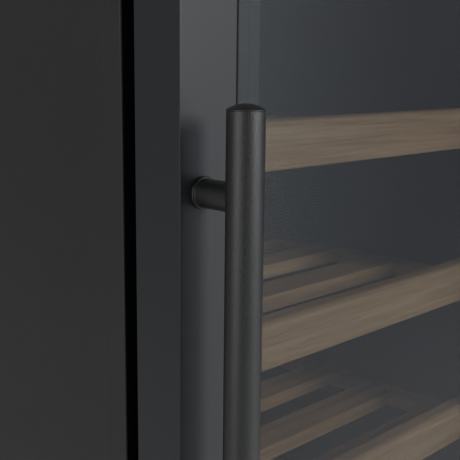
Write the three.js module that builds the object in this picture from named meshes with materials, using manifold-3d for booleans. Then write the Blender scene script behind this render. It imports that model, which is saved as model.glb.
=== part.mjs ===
// Tall free-standing wine cooler: an insulated cabinet with a glass door, a long tubular
// handle, slatted wooden shelves and a fan-cooled compressor unit at the foot of its back.
// Millimetres. +X is to the right of someone facing the door, +Y runs from the door to the
// wall behind, +Z is up. The origin is on the floor, at the middle of the overall footprint.

import * as THREE from 'three';
import { mergeVertices } from 'three/addons/utils/BufferGeometryUtils.js';
import Module from 'manifold-3d';

// ---------------------------------------------------------------- driving dimensions

const CLEARANCE = 0.3;            // gap between pieces that touch
const OVERSHOOT = 1;              // a cutting shape runs this far past the face it opens

const WIDTH = 595;
const BODY_HEIGHT = 1630;         // floor to the top sheet
const BODY_DEPTH = 571;           // cabinet alone, without its door
const WALL = 45;                  // insulated wall, outside face to inside face
const SHEET = 1.2;                // painted steel sheet
const LINER_SHEET = 2.5;          // vacuum-formed liner
const FRONT_FRAME_DEPTH = 18;     // steel face frame that the door seals against
const FRONT_FRAME_SKIN = 1.5;     // painted steel of the face frame
const FRAME_REVEAL = 3;           // face frame's opening stands this far outside the liner

const DOOR_DEPTH = 45;
const DOOR_GAP = 14;              // door back to cabinet front, bridged by the gasket
const DOOR_BOTTOM = 92;
const DOOR_TOP = 1626;
const STILE_WIDTH = 49;
const EDGE_BEVEL = 0.8;           // eased edges of the door and the face frame
const GLASS_SEAM = 1.5;           // dark joint between frame and glass
const OUTER_GLASS = 5;
const INNER_GLASS = 4;
const GLASS_CAVITY = 18;

const HANDLE_DIAMETER = 24;
const HANDLE_STANDOFF = 38;       // bar axis to door face
const HANDLE_INSET = 19;          // bar axis to the door's left edge
const HANDLE_LENGTH = 926;
const CAP_RISE = 3.4;             // crown of the domed end caps
const POST_DIAMETER = 19;
const POST_INSET = 54;            // bar end to post axis
const POST_FOOT_DIAMETER = 21.5;

const SHELF_COUNT = 7;
const SHELF_PITCH = 173;
const FIRST_SHELF = 397;          // underside of the lowest shelf
const SHELF_FRONT_HEIGHT = 42;
const SHELF_FRONT_DEPTH = 20;
const SHELF_FRONT_SETBACK = 75;   // door face to the shelves' front
const SLAT_THICKNESS = 18;
const SLAT_WIDTH = 44;
const SLAT_COUNT = 5;
const RACK_DEPTH = 425;
const RAIL_WIDTH = 24;
const LEDGE_PROTRUSION = 10;
const LEDGE_HEIGHT = 9;
const LEDGE_SETBACK = 12;         // back of a shelf front to the front of its ledges
const LEDGE_LENGTH = 395;
const SHELF_SIDE_GAP = 2;         // shelf end to the liner's wall
const SHELF_EDGE_RADIUS = 9;      // rounded upper front edge
const SHELF_EDGE_EASE = 0.6;

const LINER_FLOOR = 150;
const MACHINE_DEPTH = 225;        // compressor space at the foot of the back
const MACHINE_TOP = 238;
const STEP_INSULATION = 35;       // insulation over the compressor space
const PLINTH_TOP = 85;

const FOOT_HEIGHT = 15;
const FOOT_DIAMETER = 38;
const FOOT_STEM = 10;
const FOOT_SOLE_HEIGHT = 8;
const FOOT_COLLAR_HEIGHT = 11;
const FOOT_STEM_TOP = 46;
const FOOT_INSET = 45;            // foot axis to the cabinet's side and rear
const FOOT_FRONT_INSET = 35;      // foot axis to the front of the base pan

const HINGE_INSET = 14.5;         // pin axis to the door's right edge
const HINGE_SETBACK = 22;         // pin axis to the door face
const PIN_DIAMETER = 8;
const PIN_RUNNING_GAP = 0.05;
const BUSH_DIAMETER = 13;
const BUSH_LENGTH = 18;
const BRACKET_THICKNESS = 3;
const BRACKET_INSET = 3;          // bracket's right edge to the cabinet's side
const BRACKET_WIDTH = 59;
const BRACKET_FRONT_REACH = 14;   // pin axis to the bracket's front edge
const PIN_HEAD_RADIUS = 7;
const PIN_HEAD_HEIGHT = 2;
const PIN_CHAMFER = 0.8;

const BUTTON_COUNT = 3;
const BUTTON_PITCH = 24;
const BUTTON_DIAMETER = 11;
const BUTTON_STAND = 1.6;         // how far a button stands out of its panel

const ROUND_SIDES = 20;
const FINE_SIDES = 32;

// ---------------------------------------------------------------- derived places

const HALF_WIDTH = WIDTH / 2;
const INNER_HALF_WIDTH = HALF_WIDTH - WALL;
const HANDLE_REACH = HANDLE_STANDOFF + HANDLE_DIAMETER / 2;
const TOTAL_DEPTH = HANDLE_REACH + DOOR_DEPTH + DOOR_GAP + BODY_DEPTH;
const REAR = TOTAL_DEPTH / 2;
const DOOR_FACE = HANDLE_REACH - REAR;
const DOOR_BACK = DOOR_FACE + DOOR_DEPTH;
const BODY_FRONT = DOOR_BACK + DOOR_GAP;
const FRAME_BACK = BODY_FRONT + FRONT_FRAME_DEPTH;
const INNER_REAR = REAR - WALL;
const INNER_TOP = BODY_HEIGHT - WALL;
const DOOR_HEIGHT = DOOR_TOP - DOOR_BOTTOM;
const MACHINE_FRONT = REAR - MACHINE_DEPTH;
const HINGE_X = HALF_WIDTH - HINGE_INSET;
const HINGE_Y = DOOR_FACE + HINGE_SETBACK;

// ---------------------------------------------------------------- finishes

function finish(color, roughness, metalness = 0) {
  return new THREE.MeshStandardMaterial({ color, roughness, metalness });
}

const finishes = {
  cabinetPaint: () => finish(0x2e2e2f, 0.55),
  galvanised: () => finish(0x8d9093, 0.5, 0.8),
  blackSteel: () => finish(0x1b1c1e, 0.45, 0.3),
  doorBlack: () => finish(0x24272a, 0.35, 0.4),
  handleBlack: () => finish(0x2b2f33, 0.38, 0.5),
  liner: () => finish(0x1d1e20, 0.5),
  foam: () => finish(0xd9c9a0, 0.9),
  smokedGlass: () => {
    const glass = finish(0x2b2f33, 0.05);
    glass.transparent = true;
    glass.opacity = 0.35;
    return glass;
  },
  clearGlass: () => {
    const glass = finish(0xcfd6d8, 0.05);
    glass.transparent = true;
    glass.opacity = 0.2;
    return glass;
  },
  rubber: () => finish(0x141414, 0.85),
  beech: () => finish(0xc9a878, 0.6),
  plastic: () => finish(0x202124, 0.5),
  lens: () => finish(0xe6edf0, 0.3),
  brassBush: () => finish(0xd6d2c4, 0.5),
  steel: () => finish(0xa9adb0, 0.35, 0.9),
};

// ---------------------------------------------------------------- solid helpers

const wasm = await Module();
wasm.setup();

/** A box from its lowest to its highest corner. */
function box(low, high) {
  const size = high.map((value, axis) => value - low[axis]);
  const geometry = new THREE.BoxGeometry(...size);
  return geometry.translate(...high.map((value, axis) => (value + low[axis]) / 2));
}

/** A cylinder on the given axis ('x', 'y' or 'z') with its low end at the given point. */
function rod(axis, radius, length, [x, y, z], sides = ROUND_SIDES) {
  const geometry = new THREE.CylinderGeometry(radius, radius, length, sides);
  geometry.translate(0, length / 2, 0);
  if (axis === 'x') geometry.rotateZ(-Math.PI / 2);
  if (axis === 'z') geometry.rotateX(Math.PI / 2);
  return geometry.translate(x, y, z);
}

/** A turned piece: the profile lists [radius, height] points, and its axis is made +Z. */
function turned(profile, sides = ROUND_SIDES) {
  const points = profile.map(([radius, height]) => new THREE.Vector2(radius, height));
  return new THREE.LatheGeometry(points, sides).rotateX(Math.PI / 2);
}

function toSolid(geometry) {
  const bare = new THREE.BufferGeometry();
  bare.setAttribute('position', geometry.getAttribute('position').clone());
  bare.setIndex(geometry.getIndex());
  const merged = mergeVertices(bare, 1e-4);
  return new wasm.Manifold(new wasm.Mesh({
    numProp: 3,
    vertProperties: new Float32Array(merged.getAttribute('position').array),
    triVerts: new Uint32Array(merged.getIndex().array),
  }));
}

function toGeometry(solid) {
  const mesh = solid.getMesh();
  const geometry = new THREE.BufferGeometry();
  geometry.setAttribute('position', new THREE.BufferAttribute(mesh.vertProperties, 3));
  geometry.setIndex(new THREE.BufferAttribute(mesh.triVerts, 1));
  const flat = geometry.toNonIndexed();
  flat.computeVertexNormals();
  return flat;
}

/** One body made of several joined shapes. */
function join(...geometries) {
  return toGeometry(geometries.map(toSolid).reduce((whole, next) => whole.add(next)));
}

/** One body with the given shapes cut out of it. */
function cut(geometry, ...holes) {
  return toGeometry(holes.map(toSolid).reduce((rest, hole) => rest.subtract(hole), toSolid(geometry)));
}

/** A rectangle in X and Z, with its hole, run along Y. Both are [x0, x1, z0, z1]. */
function rectangularRing(outer, inner, y0, y1, bevel = 0) {
  const [left, right, bottom, top] = outer;
  const shape = new THREE.Shape([
    new THREE.Vector2(left + bevel, bottom + bevel),
    new THREE.Vector2(right - bevel, bottom + bevel),
    new THREE.Vector2(right - bevel, top - bevel),
    new THREE.Vector2(left + bevel, top - bevel),
  ]);
  const [holeLeft, holeRight, holeBottom, holeTop] = inner;
  shape.holes.push(new THREE.Path([
    new THREE.Vector2(holeLeft - bevel, holeBottom - bevel),
    new THREE.Vector2(holeLeft - bevel, holeTop + bevel),
    new THREE.Vector2(holeRight + bevel, holeTop + bevel),
    new THREE.Vector2(holeRight + bevel, holeBottom - bevel),
  ]));
  const geometry = new THREE.ExtrudeGeometry(shape, {
    depth: y1 - y0 - 2 * bevel,
    bevelEnabled: bevel > 0,
    bevelThickness: bevel,
    bevelSize: bevel,
    bevelSegments: 1,
  });
  return geometry.rotateX(Math.PI / 2).translate(0, y1 - bevel, 0);
}

/** A closed outline of [y, z] points run along X between x0 and x1. */
function alongX(outline, x0, x1) {
  const shape = new THREE.Shape(outline.map(([y, z]) => new THREE.Vector2(y, z)));
  const geometry = new THREE.ExtrudeGeometry(shape, { depth: x1 - x0, bevelEnabled: false });
  geometry.rotateY(Math.PI / 2);
  geometry.rotateX(Math.PI / 2);
  return geometry.translate(x0, 0, 0);
}

/** A closed outline of [x, z] points run along Y between y0 and y1. */
function alongY(outline, y0, y1) {
  const shape = new THREE.Shape(outline.map(([x, z]) => new THREE.Vector2(x, z)));
  const geometry = new THREE.ExtrudeGeometry(shape, { depth: y1 - y0, bevelEnabled: false });
  return geometry.rotateX(Math.PI / 2).translate(0, y1, 0);
}

/** Side outline of the cabinet's inside, whose floor steps up over the compressor space. */
function steppedOutline(front, rear, floor, top, stepFront, stepTop) {
  return [
    [front, floor], [stepFront, floor], [stepFront, stepTop], [rear, stepTop], [rear, top], [front, top],
  ];
}

function addTo(parent, name, geometry, material) {
  const mesh = new THREE.Mesh(geometry, material);
  mesh.name = name;
  parent.add(mesh);
  return mesh;
}

// ---------------------------------------------------------------- cabinet shell

const TOP_FLANGE = 16;
const PAN_THICKNESS = 2;
const PAN_FRONT = FRAME_BACK + 4;
const PAN_REAR = REAR - 4;
const PAN_TOP = DOOR_BOTTOM - 1;
const BACK_PANEL_BOTTOM = MACHINE_TOP + 4;
const SHELL_HALF = HALF_WIDTH - SHEET - CLEARANCE;   // room between the two side panels
const FRAME_OPENING = [
  -INNER_HALF_WIDTH - FRAME_REVEAL, INNER_HALF_WIDTH + FRAME_REVEAL,
  LINER_FLOOR - FRAME_REVEAL, INNER_TOP + FRAME_REVEAL,
];

function sidePanel(side) {
  const outer = side * HALF_WIDTH;
  const inner = side * (HALF_WIDTH - SHEET);
  const low = [Math.min(outer, inner), FRAME_BACK + CLEARANCE, FOOT_HEIGHT];
  return box(low, [Math.max(outer, inner), REAR, BODY_HEIGHT]);
}

function topPanel() {
  const front = FRAME_BACK + CLEARANCE;
  const rear = REAR - SHEET - CLEARANCE;
  const tray = box([-SHELL_HALF, front, BODY_HEIGHT - TOP_FLANGE], [SHELL_HALF, rear, BODY_HEIGHT]);
  const hollow = box(
    [-SHELL_HALF + SHEET, front + SHEET, BODY_HEIGHT - TOP_FLANGE - OVERSHOOT],
    [SHELL_HALF - SHEET, rear - SHEET, BODY_HEIGHT - SHEET],
  );
  return cut(tray, hollow);
}

function backPanel() {
  return box([-SHELL_HALF, REAR - SHEET, BACK_PANEL_BOTTOM], [SHELL_HALF, REAR, BODY_HEIGHT]);
}

/** The same rectangle, drawn in (positive) or out (negative) on all four sides. */
function inset([left, right, bottom, top], amount) {
  return [left + amount, right - amount, bottom + amount, top - amount];
}

/** Folded steel channel, open at its back, that the door's gasket closes on. */
function frontFrame() {
  const outer = [-HALF_WIDTH, HALF_WIDTH, DOOR_BOTTOM, BODY_HEIGHT];
  const ring = rectangularRing(outer, FRAME_OPENING, BODY_FRONT, FRAME_BACK, EDGE_BEVEL);
  const channel = rectangularRing(
    inset(outer, FRONT_FRAME_SKIN), inset(FRAME_OPENING, -FRONT_FRAME_SKIN),
    BODY_FRONT + FRONT_FRAME_SKIN, FRAME_BACK + OVERSHOOT,
  );
  return cut(ring, channel);
}

/** The liner's outside, drawn out on every side but its open front by the extra amount. */
function linerOuter(extra) {
  const reach = LINER_SHEET + extra;
  const outline = steppedOutline(
    BODY_FRONT + 1, INNER_REAR + reach, LINER_FLOOR - reach, INNER_TOP + reach,
    MACHINE_FRONT - WALL + reach, MACHINE_TOP + STEP_INSULATION - reach,
  );
  const half = INNER_HALF_WIDTH + reach;
  return alongX(outline, -half, half);
}

function shelfLevels() {
  return Array.from({ length: SHELF_COUNT }, (_, index) => FIRST_SHELF + index * SHELF_PITCH);
}

function innerLiner() {
  const hollow = linerOuter(-LINER_SHEET);
  const opening = box(
    [-INNER_HALF_WIDTH, BODY_FRONT - 5, LINER_FLOOR],
    [INNER_HALF_WIDTH, BODY_FRONT + 5, INNER_TOP],
  );
  let liner = toSolid(linerOuter(0)).subtract(toSolid(hollow)).subtract(toSolid(opening));
  const ledgeFront = DOOR_FACE + SHELF_FRONT_SETBACK + SHELF_FRONT_DEPTH + LEDGE_SETBACK;
  for (const level of shelfLevels()) {
    for (const side of [-1, 1]) {
      const wall = side * (INNER_HALF_WIDTH + OVERSHOOT);
      const tip = side * (INNER_HALF_WIDTH - LEDGE_PROTRUSION);
      const top = level - CLEARANCE;
      const ledge = box(
        [Math.min(wall, tip), ledgeFront, top - LEDGE_HEIGHT],
        [Math.max(wall, tip), ledgeFront + LEDGE_LENGTH, top],
      );
      liner = liner.add(toSolid(ledge));
    }
  }
  return toGeometry(liner);
}

/** Foam between the steel shell and the liner, in one piece. */
function insulationFoam() {
  const outline = steppedOutline(
    FRAME_BACK + CLEARANCE, REAR - SHEET - CLEARANCE,
    DOOR_BOTTOM, BODY_HEIGHT - TOP_FLANGE - CLEARANCE,
    MACHINE_FRONT, MACHINE_TOP,
  );
  return cut(alongX(outline, -SHELL_HALF, SHELL_HALF), linerOuter(CLEARANCE));
}

function footPlaces() {
  const x = HALF_WIDTH - FOOT_INSET;
  const ys = [PAN_FRONT + FOOT_FRONT_INSET, REAR - FOOT_INSET];
  return ys.flatMap((y) => [[-x, y], [x, y]]);
}

/** Steel pan under the cabinet, turned up at its front behind the plinth. */
function basePan() {
  const outline = [
    [PAN_FRONT, FOOT_HEIGHT], [PAN_REAR, FOOT_HEIGHT], [PAN_REAR, FOOT_HEIGHT + PAN_THICKNESS],
    [PAN_FRONT + PAN_THICKNESS, FOOT_HEIGHT + PAN_THICKNESS],
    [PAN_FRONT + PAN_THICKNESS, PAN_TOP], [PAN_FRONT, PAN_TOP],
  ];
  const holeRadius = FOOT_STEM / 2 + 0.8;
  const holeLength = PAN_THICKNESS + 2 * OVERSHOOT;
  const holes = footPlaces().map(([x, y]) => (
    rod('z', holeRadius, holeLength, [x, y, FOOT_HEIGHT - OVERSHOOT])
  ));
  return cut(alongX(outline, -SHELL_HALF, SHELL_HALF), ...holes);
}

function levellingFoot() {
  const radius = FOOT_DIAMETER / 2;
  const collar = radius - 6;
  const edge = 2;
  const stem = FOOT_STEM / 2;
  return turned([
    [0, 0], [radius - edge, 0], [radius, edge], [radius, FOOT_SOLE_HEIGHT],
    [collar, FOOT_COLLAR_HEIGHT], [stem, FOOT_COLLAR_HEIGHT], [stem, FOOT_STEM_TOP], [0, FOOT_STEM_TOP],
  ]);
}

const PLINTH = {
  front: FRAME_BACK - 12,
  thickness: 6,
  bottom: 20,
  sideGap: 3,
  slotColumns: 8,
  slotPitch: 62,
  slotHalfWidth: 24,
  slotHeight: 8,
  slotBottoms: [34, 50, 66],
};

function plinthGrille() {
  const rear = PLINTH.front + PLINTH.thickness;
  const half = HALF_WIDTH - PLINTH.sideGap;
  const plate = box([-half, PLINTH.front, PLINTH.bottom], [half, rear, PLINTH_TOP]);
  const slots = [];
  for (let column = 0; column < PLINTH.slotColumns; column += 1) {
    const x = (column - (PLINTH.slotColumns - 1) / 2) * PLINTH.slotPitch;
    for (const bottom of PLINTH.slotBottoms) {
      slots.push(box(
        [x - PLINTH.slotHalfWidth, PLINTH.front - OVERSHOOT, bottom],
        [x + PLINTH.slotHalfWidth, rear + OVERSHOOT, bottom + PLINTH.slotHeight],
      ));
    }
  }
  return cut(plate, ...slots);
}

const INLET = {
  x: 235,
  z: 80,
  halfWidth: 16,
  halfHeight: 13,
  depth: 25,
  socketHalfWidth: 12,
  socketHalfHeight: 8,
  socketDepth: 19,
};
const REAR_GRILLE = {
  sideGap: SHEET + 1,
  bottom: FOOT_HEIGHT + 4,
  top: BACK_PANEL_BOTTOM - 1,
  slotRows: 7,
  slotColumns: 3,
  firstSlot: { x: -200, z: 50 },
  slotPitch: { x: 125, z: 24 },
  slotHalfWidth: 50,
  slotHalfHeight: 5,
};

function rearGrille() {
  const half = HALF_WIDTH - REAR_GRILLE.sideGap;
  const front = REAR - SHEET;
  const plate = box([-half, front, REAR_GRILLE.bottom], [half, REAR, REAR_GRILLE.top]);
  const holes = [];
  for (let row = 0; row < REAR_GRILLE.slotRows; row += 1) {
    for (let column = 0; column < REAR_GRILLE.slotColumns; column += 1) {
      const x = REAR_GRILLE.firstSlot.x + column * REAR_GRILLE.slotPitch.x;
      const z = REAR_GRILLE.firstSlot.z + row * REAR_GRILLE.slotPitch.z;
      holes.push(box(
        [x - REAR_GRILLE.slotHalfWidth, front - OVERSHOOT, z - REAR_GRILLE.slotHalfHeight],
        [x + REAR_GRILLE.slotHalfWidth, REAR + OVERSHOOT, z + REAR_GRILLE.slotHalfHeight],
      ));
    }
  }
  const inletGap = 0.6;
  holes.push(box(
    [INLET.x - INLET.halfWidth - inletGap, front - OVERSHOOT, INLET.z - INLET.halfHeight - inletGap],
    [INLET.x + INLET.halfWidth + inletGap, REAR + OVERSHOOT, INLET.z + INLET.halfHeight + inletGap],
  ));
  return cut(plate, ...holes);
}

/** Recessed mains inlet in the rear grille. */
function powerInlet() {
  const shell = box(
    [INLET.x - INLET.halfWidth, REAR - INLET.depth, INLET.z - INLET.halfHeight],
    [INLET.x + INLET.halfWidth, REAR, INLET.z + INLET.halfHeight],
  );
  const socket = box(
    [INLET.x - INLET.socketHalfWidth, REAR - INLET.socketDepth, INLET.z - INLET.socketHalfHeight],
    [INLET.x + INLET.socketHalfWidth, REAR + OVERSHOOT, INLET.z + INLET.socketHalfHeight],
  );
  return cut(shell, socket);
}

// ---------------------------------------------------------------- cooling unit

const COMPRESSOR = {
  x: 165,
  y: MACHINE_FRONT + 115,
  radius: 72,
  height: 142,
  weldRadius: 75,                 // lip where the two halves of the shell are welded
  weldBottom: 72,
  weldTop: 80,
  shoulder: 108,                  // where the upper half starts to dome
  plateHalfWidth: 95,
  plateHalfDepth: 60,
  plateBottom: 4,
  plateTop: 7.5,
  grommetRadius: 11,
  grommetHeight: 14,
  grommetX: 82,
  grommetY: 48,
};

/** Welded shell on its mounting plate, which stands on four rubber grommets. */
function compressor() {
  const { x, y, radius, height, weldRadius, weldBottom, weldTop, shoulder } = COMPRESSOR;
  const floor = FOOT_HEIGHT + PAN_THICKNESS + CLEARANCE;
  const shell = turned([
    [0, 0], [radius - 8, 0], [radius, 10], [radius, weldBottom], [weldRadius, weldBottom + 1],
    [weldRadius, weldTop - 1], [radius, weldTop], [radius, shoulder],
    [radius - 8, shoulder + 18], [radius - 26, height - 4], [0, height],
  ]);
  shell.translate(x, y, floor + COMPRESSOR.plateTop - 1.5);
  const plate = box(
    [x - COMPRESSOR.plateHalfWidth, y - COMPRESSOR.plateHalfDepth, floor + COMPRESSOR.plateBottom],
    [x + COMPRESSOR.plateHalfWidth, y + COMPRESSOR.plateHalfDepth, floor + COMPRESSOR.plateTop],
  );
  const corners = [[-1, -1], [1, -1], [-1, 1], [1, 1]];
  const grommets = corners.map(([sideX, sideY]) => rod(
    'z', COMPRESSOR.grommetRadius, COMPRESSOR.grommetHeight,
    [x + sideX * COMPRESSOR.grommetX, y + sideY * COMPRESSOR.grommetY, floor], 16,
  ));
  return join(shell, plate, ...grommets);
}

const FIN_SHARE = 0.55;           // fin thickness as a share of the fin pitch
const CONDENSER = {
  low: [-215, MACHINE_FRONT + 45, 30],
  high: [-75, MACHINE_FRONT + 195, 215],
  fins: 16,
  spine: 24,
};
const EVAPORATOR = {
  low: [-125, INNER_REAR - 34, 1060],
  high: [125, INNER_REAR - 6, 1250],
  fins: 22,
  spine: 22,
};

/** Heat exchanger seen from its front: a comb of upright fins standing out of one solid spine. */
function finStack({ low, high, fins, spine }) {
  const [left, right] = [low[0], high[0]];
  const pitch = (right - left) / fins;
  const slot = pitch * (1 - FIN_SHARE);
  const outline = [[left, low[2]], [right, low[2]]];
  for (let fin = fins - 1; fin > 0; fin -= 1) {
    const start = left + fin * pitch;
    outline.push([start + pitch, high[2]], [start + slot, high[2]]);
    outline.push([start + slot, low[2] + spine], [start, low[2] + spine]);
  }
  outline.push([left + pitch, high[2]], [left, high[2]]);
  return alongY(outline, low[1], high[1]);
}

const HUB_SHARE = 0.36;           // hub radius as a share of the fan's
const BLADE_CHORD_SHARE = 0.42;
const BLADE_THICKNESS = 1.8;
const BLADE_PITCH = 28;           // degrees

/** A fan rotor on +Z: a hub with flat, pitched blades standing in one piece with it. */
function fanRotor({ radius, depth, blades: bladeCount }) {
  const hubRadius = radius * HUB_SHARE;
  const root = hubRadius * 0.8;
  const reach = radius - root;
  const hub = turned([
    [0, 0], [hubRadius, 0], [hubRadius, depth - 2], [hubRadius - 3, depth], [0, depth],
  ]);
  const blades = Array.from({ length: bladeCount }, (_, index) => {
    const blade = new THREE.BoxGeometry(reach, radius * BLADE_CHORD_SHARE, BLADE_THICKNESS);
    blade.rotateX(THREE.MathUtils.degToRad(BLADE_PITCH));
    blade.translate(root + reach / 2, 0, depth / 2);
    return blade.rotateZ((index / bladeCount) * 2 * Math.PI);
  });
  const swept = join(hub, ...blades);
  const envelope = rod('z', radius, depth, [0, 0, 0], FINE_SIDES);
  return toGeometry(toSolid(swept).intersect(toSolid(envelope)));
}

const CONDENSER_FAN = {
  x: 21,
  y: MACHINE_FRONT + 120,
  z: 128,
  radius: 66,
  depth: 26,
  blades: 5,
  plateHalf: 90,
  motorRadius: 22,
  motorLength: 30,
};
const EVAPORATOR_FAN = {
  z: 1385,
  radius: 55,
  depth: 16,
  blades: 7,
  plateHalf: 64,
  motorRadius: 17,
  motorLength: 14,
};
const FAN_TIP_GAP = 3;            // blade tips to the fan's mouth
const MOUNT_THICKNESS = 3;
const STRUT_WIDTH = 7;

/** A fan's fixed part on +Z: a square plate with a round mouth, and a motor on three struts. */
function fanMount({ radius, plateHalf, motorRadius, motorLength }) {
  const mouth = radius + FAN_TIP_GAP;
  const square = box([-plateHalf, -plateHalf, 0], [plateHalf, plateHalf, MOUNT_THICKNESS]);
  const hole = rod('z', mouth, MOUNT_THICKNESS + 2 * OVERSHOOT, [0, 0, -OVERSHOOT], FINE_SIDES);
  const motor = rod('z', motorRadius, motorLength, [0, 0, 0]);
  const struts = [0, 1, 2].map((index) => {
    const arm = box(
      [motorRadius - 2, -STRUT_WIDTH / 2, 0],
      [mouth + FAN_TIP_GAP, STRUT_WIDTH / 2, MOUNT_THICKNESS],
    );
    return arm.rotateZ((index * 2 * Math.PI) / 3 + Math.PI / 2);
  });
  return join(cut(square, hole), motor, ...struts);
}

const COVER = {
  front: INNER_REAR - 46,
  rear: INNER_REAR - 0.5,
  halfWidth: 190,
  bottom: 640,
  top: 1500,
  wall: 3,
  outletRows: 5,
  outletX: [-110, 0, 110],
  outletHalfWidth: 42,
  outletHeight: 7,
  outletPitch: 18,
  firstOutlet: 680,
};

/** Duct cover over the evaporator: its fan draws air in high up and blows it out low down. */
function evaporatorCover() {
  const { front, rear, halfWidth, bottom, top, wall } = COVER;
  const shell = box([-halfWidth, front, bottom], [halfWidth, rear, top]);
  const hollow = box(
    [-halfWidth + wall, front + wall, bottom + wall],
    [halfWidth - wall, rear + OVERSHOOT, top - wall],
  );
  const holeStart = [0, front - OVERSHOOT, EVAPORATOR_FAN.z];
  const holeLength = wall + 2 * OVERSHOOT;
  const fanHole = rod('y', EVAPORATOR_FAN.radius + FAN_TIP_GAP, holeLength, holeStart, FINE_SIDES);
  const outlets = [];
  for (let row = 0; row < COVER.outletRows; row += 1) {
    const z = COVER.firstOutlet + row * COVER.outletPitch;
    for (const x of COVER.outletX) {
      outlets.push(box(
        [x - COVER.outletHalfWidth, front - OVERSHOOT, z],
        [x + COVER.outletHalfWidth, front + wall + OVERSHOOT, z + COVER.outletHeight],
      ));
    }
  }
  return cut(shell, hollow, fanHole, ...outlets);
}

// ---------------------------------------------------------------- controls and lamp

const PANEL_FRONT = DOOR_FACE + SHELF_FRONT_SETBACK + 10;
const PANEL_HEIGHT = 34;
const PANEL_DEPTH = 60;
const PANEL_BOTTOM = INNER_TOP - CLEARANCE - PANEL_HEIGHT;
const BUTTON_Z = PANEL_BOTTOM + PANEL_HEIGHT / 2;
const PANEL_SIDE_GAP = 2;         // panel end to the liner's wall
const PANEL_FIT = 0.4;            // play round the lens and the buttons in their seats
const DISPLAY = { x: -48, halfWidth: 32, halfHeight: 10, depth: 3 };
const FIRST_BUTTON_X = 24;
const BUTTON_LENGTH = 8;
const BUTTON_EDGE = 0.8;
const WELL_DEPTH = 10;

function buttonX(index) {
  return FIRST_BUTTON_X + index * BUTTON_PITCH;
}

function controlPanel() {
  const half = INNER_HALF_WIDTH - PANEL_SIDE_GAP;
  const shell = box(
    [-half, PANEL_FRONT, PANEL_BOTTOM],
    [half, PANEL_FRONT + PANEL_DEPTH, PANEL_BOTTOM + PANEL_HEIGHT],
  );
  const windowHalfWidth = DISPLAY.halfWidth + PANEL_FIT;
  const windowHalfHeight = DISPLAY.halfHeight + PANEL_FIT;
  const window = box(
    [DISPLAY.x - windowHalfWidth, PANEL_FRONT - OVERSHOOT, BUTTON_Z - windowHalfHeight],
    [DISPLAY.x + windowHalfWidth, PANEL_FRONT + DISPLAY.depth + CLEARANCE, BUTTON_Z + windowHalfHeight],
  );
  const wellRadius = BUTTON_DIAMETER / 2 + PANEL_FIT;
  const wells = Array.from({ length: BUTTON_COUNT }, (_, index) => (
    rod('y', wellRadius, WELL_DEPTH + OVERSHOOT, [buttonX(index), PANEL_FRONT - OVERSHOOT, BUTTON_Z])
  ));
  return cut(shell, window, ...wells);
}

function displayLens() {
  return box(
    [DISPLAY.x - DISPLAY.halfWidth, PANEL_FRONT + CLEARANCE, BUTTON_Z - DISPLAY.halfHeight],
    [DISPLAY.x + DISPLAY.halfWidth, PANEL_FRONT + DISPLAY.depth, BUTTON_Z + DISPLAY.halfHeight],
  );
}

/** A push button on +Y: a short cylinder with a softened front edge. */
function pushButton() {
  const radius = BUTTON_DIAMETER / 2;
  const button = turned([
    [0, 0], [radius, 0], [radius, BUTTON_LENGTH - BUTTON_EDGE],
    [radius - BUTTON_EDGE, BUTTON_LENGTH], [0, BUTTON_LENGTH],
  ]);
  return button.rotateX(Math.PI / 2);
}

const LAMP = {
  front: PANEL_FRONT + PANEL_DEPTH + 12,
  depth: 24,
  slope: 4,                       // its front and back lean in by this much
  top: INNER_TOP - 0.5,
  bottom: INNER_TOP - 7,
  halfLength: 190,
};

function lampCover() {
  const rear = LAMP.front + LAMP.depth;
  const outline = [
    [rear, LAMP.top], [rear - LAMP.slope, LAMP.bottom],
    [LAMP.front + LAMP.slope, LAMP.bottom], [LAMP.front, LAMP.top],
  ];
  return alongX(outline, -LAMP.halfLength, LAMP.halfLength);
}

// ---------------------------------------------------------------- door

const OPENING_HALF = HALF_WIDTH - STILE_WIDTH;
const LIP = 26;                   // inner frame's cover over the edge of the glazing
const GLAZING_EDGE = 15;          // how far the rear pane stops short of the frame

const DOOR_OUTLINE = [-HALF_WIDTH, HALF_WIDTH, 0, DOOR_HEIGHT];
const DOOR_OPENING = [-OPENING_HALF, OPENING_HALF, STILE_WIDTH, DOOR_HEIGHT - STILE_WIDTH];
const DOOR_SKIN = 2.5;            // wall of the hollow door profile
const BACK_COVER = 3;             // plastic cover that closes the profile at its back
const BUSH_SEAT_PLAY = 0.05;

/** Hollow profile, open at its back where the inner frame's flange closes it. */
function doorFrame() {
  const ring = rectangularRing(DOOR_OUTLINE, DOOR_OPENING, 0, DOOR_DEPTH, EDGE_BEVEL);
  const coverSeat = DOOR_DEPTH - BACK_COVER - CLEARANCE;
  const channel = rectangularRing(
    inset(DOOR_OUTLINE, DOOR_SKIN), inset(DOOR_OPENING, -DOOR_SKIN),
    DOOR_SKIN, coverSeat + OVERSHOOT,
  );
  const mouth = rectangularRing(
    inset(DOOR_OUTLINE, DOOR_SKIN), inset(DOOR_OPENING, OVERSHOOT),
    coverSeat, DOOR_DEPTH + OVERSHOOT,
  );
  const seatRadius = BUSH_DIAMETER / 2 + BUSH_SEAT_PLAY;
  const seatLength = BUSH_LENGTH + 2 * OVERSHOOT;
  const seats = [-OVERSHOOT, DOOR_HEIGHT - BUSH_LENGTH - OVERSHOOT].map((z) => (
    rod('z', seatRadius, seatLength, [HINGE_X, HINGE_SETBACK, z])
  ));
  return cut(ring, channel, mouth, ...seats);
}

const GLASS_OUTLINE = inset(DOOR_OPENING, GLASS_SEAM);

/** A pane that stops short of the outer pane's outline by the given edge. */
function pane(edge, y0, y1) {
  const [left, right, bottom, top] = inset(GLASS_OUTLINE, edge);
  return box([left, y0, bottom], [right, y1, top]);
}

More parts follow.
